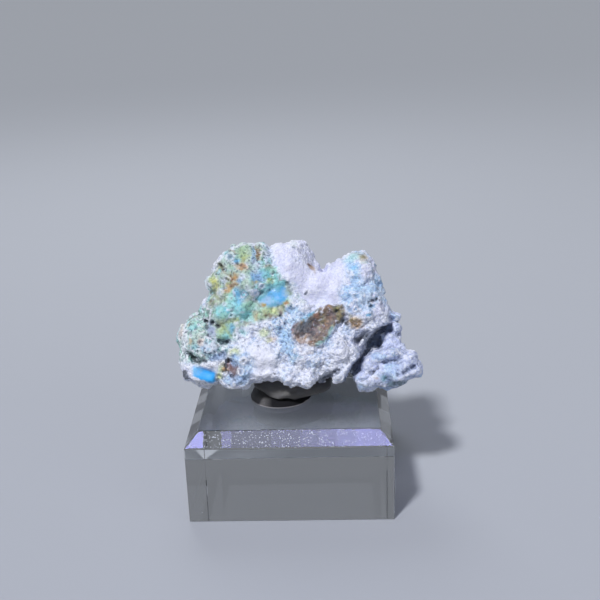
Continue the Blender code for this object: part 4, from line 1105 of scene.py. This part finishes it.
def zone_masks(points, places, facing):
    """Where each zone is. Out of the camera's view, noise patches stand in for the outlines."""
    masks = {}
    broad = [zone for _, zone, _ in GROUNDS]
    for seed, name in enumerate(ZONES):
        size, share = HIDDEN_PATCHES.get(name, (6.0, 0.0))
        hidden = patches(points, size, share, 17.0 * seed) if share else 0.0
        soft = 1.1 if name in broad else 0.35
        where = seen_at(points) if name == "blue_patch" else places
        masks[name] = in_zone(where, name, soft) * facing + hidden * (1 - facing)
    masks["rest"] = 1 - np.max([masks[name] for name in broad], axis=0)
    return masks


print(len(ZONES) + 1, "masks for each point")

# %% [markdown]
# The layers then go on in order: grounds, patches, spots, streaks, rings, and last the shade painted
# into the pits. Spots and streaks are thinned by fine noise, because crystals of the crust stand in
# front of them. Three more numbers are kept for the finish: how glazed a point is, how strong its
# dark grains and the shade painted into its hollows are, and how frosted.

# %% Lay on the colour
DAB_SOFT = 0.6  # how soft a dab's edge is, as a share of its size
VARIED = ("crown", "flank", "peak", "waist")
# The same number also sets how strong the painted shade in the hollows is
MORE_GRAIN_AND_SHADE = {  # how much more or less mottled with dark grains a zone is
    "lobes": 0.1, "flank": 0.15, "crown": -0.1, "cream": -0.36, "powder": -0.3, "peak": -0.3,
}


def lay_marks(colours, points, places, facing):
    """Lays spots, streaks, rings and the shade painted into the pits over the grounds."""
    gaps = 0.3 * patches(points, 0.8, 0.35, 61.0) + 0.3 * patches(points, 0.45, 0.2, 67.0)
    thin = facing * (1 - gaps)
    for name, centre, radii, slope, strength in SPOTS:
        spot = ellipse(places, centre, radii, slope, DAB_SOFT)
        colours = layer(colours, name, strength * thin * spot)
    for name, route, width, strength in STREAKS:
        colours = layer(colours, name, strength * thin * line(places, route, width, DAB_SOFT))
    for centre, radius, heart in ROSETTES:
        middle = ellipse(places, centre, (radius * 0.6, radius * 0.6), soft=0.5)
        colours = layer(colours, heart, 0.6 * facing * middle)
        colours = layer(colours, "white", 0.5 * facing * ring(places, centre, radius))
    # Painted shade in the pits, darker the deeper the pit
    for centre, radius, depth in PITS:
        pit = ellipse(places, centre, (radius, radius), soft=DAB_SOFT)
        colours = layer(colours, "char", min(0.9, depth * depth) * facing * pit)
    return colours


def paint(points, facing):
    """The pigment, glaze and frost at each point, and how strong its dark grains and painted shade are.
    """
    places = seen_at(points) + ragged(points, 1.3, 0.4) + ragged(points, 0.5, 0.22, 5.0)
    masks = zone_masks(points, places, facing)
    colours = np.tile(PIGMENTS["chalk"], (len(points), 1))
    for name, zone, strength in GROUNDS:
        colours = layer(colours, name, strength * masks[zone])
    for seed, (name, zone, size, share, strength) in enumerate(PATCHES + POCKET_COLOURS):
        amount = strength * masks[zone]
        if share < 1:
            amount = amount * patches(points, size, share, 3.1 * seed)
        colours = layer(colours, name, amount)
    colours = lay_marks(colours, points, places, facing)
    bare = np.max([masks[name] for name in GLAZED], axis=0)
    glaze = np.maximum(bare, 0.45 * masks["crown"] * patches(points, 2.2, 0.6, 91.0))
    varied = np.max([masks[name] for name in VARIED], axis=0)
    upper = smoothstep((places[:, 1] - 26) / 4)  # 1 in the upper crown
    # How strong the dark grains and the painted shade in the hollows are
    grain_and_shade_share = 0.33 + 0.25 * facing + 0.25 * varied + 0.4 * upper * masks["crown"] - 0.4 * bare
    for zone, more in MORE_GRAIN_AND_SHADE.items():
        grain_and_shade_share = grain_and_shade_share + more * masks[zone]
    frost = 1 - (0.55 + 0.2 * upper) * masks["crown"] - 0.4 * masks["flank"]
    return colours, glaze, grain_and_shade_share, frost


hidden = depth_hidden(stone)
facing = smoothstep(in_view(hidden, near=3.0, far=7.0))
colours, glaze, grain_and_shade_share, frost = paint(points_of(stone), facing)
layers = len(GROUNDS) + len(PATCHES) + len(POCKET_COLOURS)
print("painted", layers, "layers and", len(SPOTS) + len(STREAKS), "marks")

# %% [markdown]
# Two things change the paint. A veil of frost pales it wherever grains grow, as the real crust does,
# least on pure and on dark colours, so the blues stay clear. And the finish paints shade into the
# hollows, where light hardly reaches, so it has to know them: each point is set against the mean of
# its neighbours for that.

# %% Veil and hollows
VEIL = 0.28  # how far a frosted place pales
HOLLOW_DEPTH = 0.3  # mm, from what counts as wholly high to what counts as wholly hollow


def hollowness(piece, rounds=3):
    """How deep each point lies between its neighbours: 0.5 on the level, more in a hollow."""
    points = points_of(piece)
    ends = np.empty(len(piece.data.edges) * 2, int)
    piece.data.edges.foreach_get("vertices", ends)
    ends = ends.reshape(-1, 2)
    count = np.bincount(ends.ravel(), minlength=len(points))[:, None]
    even = points
    for _ in range(rounds):
        total = np.zeros_like(even)
        np.add.at(total, ends[:, 0], even[ends[:, 1]])
        np.add.at(total, ends[:, 1], even[ends[:, 0]])
        even = total / count
    normals = np.empty(len(points) * 3)
    piece.data.vertices.foreach_get("normal", normals)
    normals = normals.reshape(-1, 3) @ (to_stone[:3, :3].T * MM)
    return np.clip(0.5 + ((even - points) * normals).sum(axis=1) / HOLLOW_DEPTH, 0, 1)


purity = 1 - colours.min(axis=1) / colours.max(axis=1)
light = smoothstep((colours.max(axis=1) - 0.15) / 0.4)
frosting = crust_weights(stone, in_view(hidden))["grains"] * light * frost
frosting = np.maximum(frosting * (1 - 0.75 * purity ** 2), 0.25 * (glaze < 0.5))
colours = colours + (np.array(PIGMENTS["frost"]) - colours) * (VEIL * frosting)[:, None]
hollow_share = hollowness(stone)
print(f"frosting {frosting.mean():.2f} and hollow {hollow_share.mean():.2f} on average")

# %% [markdown]
# The colour is kept on the stone itself as a colour attribute, and the other numbers as plain ones.
# They ride on the mesh's points, need no image and no UV map, and any shader can read them.

# %% Keep the paint on the stone
def keep_colour(piece, name, colours):
    rgba = np.ones((len(colours), 4), np.float32)
    rgba[:, :3] = colours
    attribute = piece.data.color_attributes.new(name, "FLOAT_COLOR", "POINT")
    attribute.data.foreach_set("color", rgba.ravel())


def keep_number(piece, name, values):
    attribute = piece.data.attributes.new(name, "FLOAT", "POINT")
    attribute.data.foreach_set("value", values.astype(np.float32))


keep_colour(stone, "pigment", colours)
numbers = {"glaze": glaze, "frosted": frosting, "grain_and_shade": grain_and_shade_share, "hollow": hollow_share}
for name, values in numbers.items():
    keep_number(stone, name, values)
print("kept on the stone: pigment,", ", ".join(numbers))

# %% [markdown]
# ## The stone's finish
#
# Shader maths reads best as plain expressions. Wired by hand, `1 - mask * 0.5` takes two Math nodes
# and a few links. This class wraps an output socket, so that the expression itself adds them.

# %% Sockets in expressions
class Socket:
    """An output socket that works in Python expressions."""

    def __init__(self, finish, link):
        self.finish = finish
        self.link = link

    def math(self, operation, *values):
        return self.finish.node("ShaderNodeMath", {"operation": operation}, dict(enumerate(values)))

    def __add__(self, other):
        return self.math("ADD", self, other)

    def __sub__(self, other):
        return self.math("SUBTRACT", self, other)

    def __rsub__(self, other):
        return self.math("SUBTRACT", other, self)

    def __mul__(self, other):
        return self.math("MULTIPLY", self, other)

    __radd__ = __add__
    __rmul__ = __mul__


# %% [markdown]
# A finish is a material with its Principled shader. Its `node` method makes any other node: first
# its settings, such as a ramp's stops, then the values or links of its sockets. The short methods
# after it are what the three pieces share: places, noise, cells, ramps, mixes and bumps. They all
# read the piece's own coordinates or attributes, so a pattern stays where it is on its piece.

# %% Finishes
class Finish:
    """A material whose Principled shader takes its constants here and its links from expressions."""

    def __init__(self, name, **constants):
        self.material = bpy.data.materials.new(name)
        self.material.use_nodes = True
        self.tree = self.material.node_tree
        self.shader = self.tree.nodes["Principled BSDF"]
        for key, value in constants.items():
            self.shader.inputs[key.replace("_", " ")].default_value = value

    def plug(self, socket, value):
        if isinstance(value, Socket):
            self.tree.links.new(value.link, socket)
        else:
            socket.default_value = value

    def node(self, kind, settings=None, inputs=None, output=0):
        made = self.tree.nodes.new(kind)
        for key, value in (settings or {}).items():
            if key == "stops":
                self.set_stops(made.color_ramp, value)
            else:
                setattr(made, key, value)
        for key, value in (inputs or {}).items():
            self.plug(made.inputs[key], value)
        return Socket(self, made.outputs[output])

    @staticmethod
    def set_stops(ramp, stops):
        for element, (place, value) in zip(ramp.elements, stops):
            element.position = place
            element.color = (value, value, value, 1.0)

    def place(self, axis=None):
        """Where each point lies on the piece itself, or one coordinate of that."""
        where = self.node("ShaderNodeTexCoord", output="Object")
        return self.node("ShaderNodeSeparateXYZ", {}, {0: where}, axis) if axis else where

    def fade(self, value, start_mm, end_mm):
        """0 at the start, 1 at the end, and evenly between them."""
        inputs = {"Value": value, "From Min": start_mm * MM, "From Max": end_mm * MM}
        return self.node("ShaderNodeMapRange", {}, inputs, "Result")

    def noise(self, size_mm, detail):
        """Noise whose blotches are about this size."""
        inputs = {"Vector": self.place(), "Scale": 1 / (size_mm * MM)}
        inputs |= {"Detail": detail, "Roughness": 0.6}
        return self.node("ShaderNodeTexNoise", {}, inputs, "Fac")

    def cells(self, size_mm, feature="F1", output="Distance"):
        """Cells of about this size: how far each point is from its cell's heart, or a chance colour."""
        inputs = {"Vector": self.place(), "Scale": 1 / (size_mm * MM)}
        return self.node("ShaderNodeTexVoronoi", {"feature": feature}, inputs, output)

    def ramp(self, value, *stops):
        return self.node("ShaderNodeValToRGB", {"stops": stops}, {"Fac": value}, "Color")

    def mix(self, amount, first, second, blend="MIX"):
        settings = {"data_type": "RGBA", "blend_type": blend}
        return self.node("ShaderNodeMix", settings, {0: amount, 6: first, 7: second}, 2)

    def attribute(self, name, output="Fac"):
        return self.node("ShaderNodeAttribute", {"attribute_name": name}, {}, output)

    def bump(self, height, distance_mm, strength=1.0, normal=None):
        inputs = {"Height": height, "Distance": distance_mm * MM, "Strength": strength}
        if normal:
            inputs["Normal"] = normal
        return self.node("ShaderNodeBump", {}, inputs, "Normal")

    def set(self, **links):
        for key, value in links.items():
            self.plug(self.shader.inputs[key.replace("_", " ")], value)


# %% [markdown]
# The finish breaks the painted colour up at the scale of single crystals. Voronoi cells give every
# grain a chance value of its own: some are bright, a few are dark. A bright grain is partly a pale
# crystal and partly a painted glint. It multiplies the colour under it, where a mix with white would
# turn it grey. The high points get painted light, and painted shade lies in the hollows.

# %% Colour of the crystals, with painted light and shade
# Painted light: how much paler a grain or a high point that seems to catch the light becomes
PALER_IN_LIGHT = (1.6, 1.55, 1.45, 1.0)
PALEST_IN_LIGHT = (0.96, 0.97, 1.0, 1.0)
DARK_GRAIN = (0.36, 0.39, 0.45, 1.0)
SHADE = (0.14, 0.16, 0.21, 1.0)

crust = Finish("gibbsite_crust", IOR=1.57, Coat_Roughness=0.18)
pigment = crust.attribute("pigment", "Color")
frosted = crust.attribute("frosted")
grain_and_shade = crust.attribute("grain_and_shade")
hollow = crust.attribute("hollow")
shine = crust.attribute("glaze")
chance = crust.cells(0.30, output="Color")
coarse_chance = crust.cells(0.62, output="Color")
# Bright grains and clumps are partly pale crystals and partly painted glints
pale_grain_and_glint = crust.ramp(chance, (0.60, 0.0), (0.74, 1.0))
pale_clump_and_glint = crust.ramp(coarse_chance, (0.62, 0.0), (0.72, 1.0))
dark = crust.ramp(crust.cells(0.40, output="Color"), (0.20, 1.0), (0.27, 0.0))
# Painted light on the high points and painted shade in the hollows, read from the hollow number
lit_high_points = crust.ramp(hollow, (0.20, 1.0), (0.42, 0.0))
shaded_hollows = crust.ramp(hollow, (0.56, 0.0), (0.85, 1.0))
pale_and_lit = crust.mix(1.0, crust.mix(1.0, pigment, PALER_IN_LIGHT, "MULTIPLY"), PALEST_IN_LIGHT, "DARKEN")
tint = crust.mix(pale_grain_and_glint * frosted * 0.70, pigment, pale_and_lit)
tint = crust.mix(pale_clump_and_glint * frosted * 0.40, tint, pale_and_lit)
tint = crust.mix(lit_high_points * frosted * 0.50, tint, pale_and_lit)
tint = crust.mix(dark * grain_and_shade * 0.7, tint, DARK_GRAIN, "MULTIPLY")
tint = crust.mix(shaded_hollows * grain_and_shade * 0.7, tint, SHADE, "MULTIPLY")
print("colour of the crystals:", len(crust.tree.nodes), "nodes")

# %% [markdown]
# Bumps too small for the net are left to Bump nodes, one for the crystals and a finer one for the
# powder on them. Bright crystals are a little smoother than the rest. The glazed spots get a thin
# clear coat, as the glassy blue mineral has a wet shine.

# %% Relief and gloss of the stone
grain = crust.cells(0.40)
relief = crust.bump(grain * frosted, 0.2, strength=0.85)
relief = crust.bump(crust.noise(0.25, detail=3), 0.05, strength=0.5, normal=relief)
rough = 0.62 - pale_grain_and_glint * frosted * 0.25 - shine * 0.14
crust.set(Base_Color=tint, Normal=relief, Roughness=rough, Coat_Weight=shine * 0.12)
stone.data.materials.append(crust.material)
only(stone)
bpy.ops.object.shade_smooth()
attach(stone, "root")
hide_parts("gibbsite")
print("stone's finish:", len(crust.tree.nodes), "nodes")

# %% [markdown]
# ## The putty
#
# The stone is bedded in a pad of grey mounting putty: an upper roll that bulges from under the stone
# and a smaller lobe squashed under it onto the block. Putty is soft and a little tacky, so it keeps
# finger dents and creases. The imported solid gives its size. A finer net takes the crease between the
# rolls, the rolled lip over it, the rim pressed onto the block and the dents.

# %% Shape the putty
PUTTY_NET = 0.35  # spacing of the putty's net, mm
PUTTY_CREASES = (  # route (across, height over the table), width, depth, mm
    (((-9.5, 27.0), (-6.0, 26.0), (-2.0, 25.4), (2.0, 25.0), (6.0, 25.0), (9.5, 26.2)), 0.5, 1.3),
    (((-6.6, 28.4), (-3.0, 27.7), (1.5, 28.0)), 0.35, 0.25),
    (((3.0, 29.2), (5.5, 28.1), (8.2, 28.4)), 0.35, 0.25),
)
PUTTY_LIP = ((-8.0, 27.6), (-4.0, 26.9), (0.0, 26.5), (4.0, 26.3), (8.0, 26.6))

putty = copy_of("mounting_putty", "putty_pad")
modify(putty, "REMESH", mode="VOXEL", voxel_size=PUTTY_NET * MM)
modify(putty, "SMOOTH", factor=0.5, iterations=6)
pad = mesh_points(putty) / MM
places = pad[:, [0, 2]] + ragged(pad, 2.4, 0.5)
dent = np.zeros(len(pad))
for route, width, depth in PUTTY_CREASES:
    dent += depth * line(places, route, width, soft=STROKE_SOFT)
dent -= 0.9 * line(places, PUTTY_LIP, 1.1, soft=0.9)  # the rolled lip
dent -= 1.1 * smoothstep((24.6 - pad[:, 2]) / 1.2)  # the rim on the block
dent -= 1.2 * ellipse(places, (8.6, 26.4), (2.6, 1.8), soft=0.8)  # the bulge at the right
inward = pad.mean(axis=0) - pad
inward[:, 2] = 0
inward /= np.linalg.norm(inward, axis=1, keepdims=True) + 1e-6
pad = pad + inward * dent[:, None]
put_mesh_points(putty, pad * MM)
sides = np.clip((pad[:, 2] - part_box("mounting_putty")[0][2] / MM - 0.4) / 0.8, 0, 1)
set_group(putty, "sides", sides)
displace(putty, texture("finger dents", "CLOUDS", 4.2, noise_depth=1), 0.45, "sides")
bpy.ops.object.shade_smooth()
print("putty:", triangles(putty), "triangles")

# %% [markdown]
# Putty is matt and faintly waxy, so a little light spreads under its skin. Its upper roll is smudged
# grey with dust. The lower lobe lies in its own shadow, and that shade is painted into its colour as
# near black, apart from its left end. A pale band painted along its foot is a glint where it meets
# the block. Those three follow the height and the place across, so they are read from the piece's own
# coordinates.

# %% Finish of the putty
PUTTY_GREY = (0.150, 0.145, 0.140, 1.0)
PUTTY_SMUDGED = (0.115, 0.115, 0.120, 1.0)
PUTTY_SHADED = (0.010, 0.010, 0.012, 1.0)
PUTTY_SEAM_GLINT = (0.42, 0.40, 0.41, 1.0)
PUTTY_DUST = (0.20, 0.20, 0.21, 1.0)

pad_finish = Finish(
    "putty", IOR=1.45, Specular_IOR_Level=0.15, Subsurface_Weight=0.1, Subsurface_Scale=1.0,
    Subsurface_Radius=(0.8 * MM, 0.7 * MM, 0.6 * MM),
)
smudge = pad_finish.ramp(pad_finish.noise(4.0, detail=3), (0.35, 0.0), (0.7, 1.0))
dust = pad_finish.ramp(pad_finish.noise(0.7, detail=2), (0.62, 0.0), (0.72, 1.0))
height = pad_finish.place("Z")
# Painted glint along the foot of the putty
seam_glint = pad_finish.fade(height, 24.0, 23.85)
inner = pad_finish.fade(pad_finish.place("X"), -7.0, -4.5)
# Painted shade on the lower lobe, lighter towards its left end
lobe_shade = pad_finish.fade(height, 26.0, 25.4) * (0.1 + inner * 0.9)
tint = pad_finish.mix(smudge * 0.5, PUTTY_GREY, PUTTY_SMUDGED)
tint = pad_finish.mix(lobe_shade * 0.97, tint, PUTTY_SHADED)
tint = pad_finish.mix(seam_glint * 0.9, tint, PUTTY_SEAM_GLINT)
tint = pad_finish.mix(dust * (1 - lobe_shade) * 0.5, tint, PUTTY_DUST)
relief = pad_finish.bump(pad_finish.noise(1.1, detail=4), 0.12, strength=0.5)
pad_finish.set(Base_Color=tint, Normal=relief, Roughness=0.55 + lobe_shade * 0.3 + dust * 0.15)
putty.data.materials.append(pad_finish.material)
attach(putty, "root")
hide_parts("mounting_putty")
print("putty's finish:", len(pad_finish.tree.nodes), "nodes")

# %% [markdown]
# ## The display block
#
# The block is cast clear acrylic, sawn square and polished, with a wide bevel cut round its top.
# Polishing leaves edges that are just blunt enough to catch a bright line of light, so the copy of
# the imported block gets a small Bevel. Its triangles are dissolved into plain faces first, or the
# Bevel would round their diagonals too, and flat shading keeps each face a true mirror.

# %% Shape the block
EDGE = 0.22  # width of a polished edge, mm

block = copy_of("display_block", "acrylic_block")
bpy.ops.object.mode_set(mode="EDIT")
bpy.ops.mesh.select_all(action="SELECT")
bpy.ops.mesh.dissolve_limited(angle_limit=math.radians(1))
bpy.ops.object.mode_set(mode="OBJECT")
modify(
    block, "BEVEL", width=EDGE * MM, segments=3, limit_method="ANGLE",
    angle_limit=math.radians(20),
)
bpy.ops.object.shade_flat()
print("block:", triangles(block), "triangles")

# %% [markdown]
# The plastic is plain transmission with the refractive index of acrylic and a faint cool tint.
# Light wear shows as a few hairline scratches, and specks of dust lie on the bevels, most of them on
# the front one. Dust isn't clear, so a Mix Shader sets a matt white in its place, speck by speck.

# %% Finish of the block
COOL_CLEAR = (0.97, 0.985, 1.0, 1.0)
DUST_WHITE = (0.84, 0.88, 1.0, 1.0)

acrylic = Finish("clear_acrylic", Base_Color=COOL_CLEAR, IOR=1.49, Transmission_Weight=1.0)
haze = acrylic.ramp(acrylic.noise(9.0, detail=3), (0.45, 0.0), (0.8, 1.0))
dust = acrylic.ramp(acrylic.noise(0.5, detail=1), (0.7, 0.0), (0.76, 1.0))
hairline = acrylic.cells(7.0, feature="DISTANCE_TO_EDGE")
scratch = acrylic.ramp(hairline, (0.0, 1.0), (0.006, 0.0))
relief = acrylic.bump(scratch * haze, 0.02, strength=0.1)
front = acrylic.fade(acrylic.place("Y"), -17.0, -22.0)
upper = acrylic.fade(acrylic.place("Z"), 19.9, 20.2)
speck = acrylic.ramp(acrylic.cells(0.5), (0.22, 1.0), (0.28, 0.0))
some = acrylic.ramp(acrylic.noise(2.4, detail=3), (0.36, 0.0), (0.5, 1.0))
acrylic.set(Roughness=0.01 + haze * 0.03 + dust * 0.25, Normal=relief)
fluff = acrylic.node("ShaderNodeBsdfDiffuse", {}, {"Color": DUST_WHITE}, "BSDF")
clear = Socket(acrylic, acrylic.shader.outputs["BSDF"])
dusty = speck * some * upper * (0.12 + front * 0.6)
dusted = acrylic.node("ShaderNodeMixShader", {}, {0: dusty, 1: clear, 2: fluff}, "Shader")
acrylic.plug(acrylic.tree.nodes["Material Output"].inputs["Surface"], dusted)
block.data.materials.append(acrylic.material)
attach(block, "root")
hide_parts("display_block")
print("block's finish:", len(acrylic.tree.nodes), "nodes")

# %% [markdown]
# ## Floor, light and world
#
# A plain pale floor and a world of the same tone leave the specimen alone in the picture. The floor
# is one plane, just under the block so that the two don't share a face, and large enough that its
# edge is never seen.

# %% Floor
FLOOR_GREYS = (0.46, 0.48, 0.52, 1.0), (0.42, 0.44, 0.48, 1.0)

bpy.ops.object.select_all(action="DESELECT")
bpy.ops.mesh.primitive_plane_add(size=40.0, location=(0, 0, -0.05 * MM))
floor = bpy.context.object
floor.name = "floor"
ground = Finish("floor", Roughness=0.6)
grainy = ground.noise(30.0, detail=2)
ground.set(Base_Color=ground.mix(grainy * 0.12, *FLOOR_GREYS))
floor.data.materials.append(ground.material)
print("floor:", [round(value) for value in floor.dimensions], "m")

# %% [markdown]
# The front bevel is a mirror that faces up, and what it shows is what makes it look polished. So
# lavender strips hang high in front of the block, one for each step of brightness along the bevel,
# and where strips overlap their light adds up. Each hangs 2 mm farther out than the last, because
# lamps that lie in one plane would hide each other by chance.

# %% Strips mirrored in the bevel
def lamp(name, place, aim, size, watts, colour, seen=True):
    """A rectangular lamp. One that isn't `seen` lights the pieces but isn't mirrored in the acrylic."""
    data = bpy.data.lights.new(name, "AREA")
    data.shape = "RECTANGLE"
    data.size, data.size_y = size
    data.energy = watts
    data.color = colour
    holder = bpy.data.objects.new(name, data)
    bpy.context.scene.collection.objects.link(holder)
    holder.location = place
    holder.rotation_euler = (Vector(aim) - Vector(place)).to_track_quat("-Z", "Y").to_euler()
    holder.visible_glossy = holder.visible_transmission = seen


LAVENDER = (0.38, 0.38, 1.0)
STRIP_WATTS = 1.9  # for each metre of strip
STRIP_DEPTH = 0.035  # m
BEVEL_STRIPS = (  # left end, right end (m across), share of full brightness
    (-0.165, -0.103, 1.0), (-0.0875, -0.079, 0.35), (-0.079, 0.11, 0.12), (-0.045, 0.11, 0.08),
    (-0.020, 0.11, 0.10), (-0.004, 0.11, 0.12), (0.012, 0.11, 0.14), (0.028, 0.11, 0.14),
)
for number, (left, right, share) in enumerate(BEVEL_STRIPS):
    middle, width = (left + right) / 2, right - left
    depth = -0.30 - 0.002 * number
    place, aim = (middle, depth, 0.55), (middle, depth + 0.29, 0.04)
    watts = STRIP_WATTS * width * share
    lamp(f"bevel_strip_{number}", place, aim, (width, STRIP_DEPTH), watts, LAVENDER)
print(len(BEVEL_STRIPS), "strips")

# %% [markdown]
# Two more lamps aim at the stone. A weak one fills from the right, and one behind draws the upper
# rim. The acrylic doesn't mirror them, so its faces stay clear.

# %% Fill and rim
AIM = (0.0, -0.01, 0.04)

lamp("fill", (0.45, -0.35, 0.30), AIM, (0.45, 0.45), 0.4, (0.88, 0.93, 1.0), seen=False)
lamp("rim", (-0.10, 0.35, 0.45), AIM, (0.25, 0.25), 0.7, (0.95, 0.97, 1.0), seen=False)
print("fill and rim aim at", AIM)

# %% [markdown]
# A sun lamp from the upper left does most of the work. A sun has a direction and no place, so its
# light falls evenly on the whole stone. It is 7 degrees wide, enough for soft shadows and little
# enough to keep the pits and crevices crisp.

# %% Key light
KEY_WAY = (0.30, 0.50, -0.80)  # where its light goes

sun = bpy.data.lights.new("key", "SUN")
sun.energy = 2.4
sun.angle = math.radians(7)
sun.color = (0.97, 0.98, 1.0)
key = bpy.data.objects.new("key", sun)
bpy.context.scene.collection.objects.link(key)
key.rotation_euler = Vector(KEY_WAY).to_track_quat("-Z", "Y").to_euler()
print(len(bpy.data.lights), "lamps")

# %% [markdown]
# The world is one plain tone, close to the floor's. It fills the shadows softly, and the clear block
# bends and mirrors it. The Standard view keeps the pigments as they were mixed.

# %% World
SKY = (0.80, 0.84, 0.92, 1.0)
SKY_STRENGTH = 0.21

world = bpy.data.worlds.new("studio")
world.use_nodes = True
sky = world.node_tree.nodes["Background"]
sky.inputs["Color"].default_value = SKY
sky.inputs["Strength"].default_value = SKY_STRENGTH
bpy.context.scene.world = world
bpy.context.scene.view_settings.view_transform = "Standard"
print("world:", SKY[:3], "at", SKY_STRENGTH)
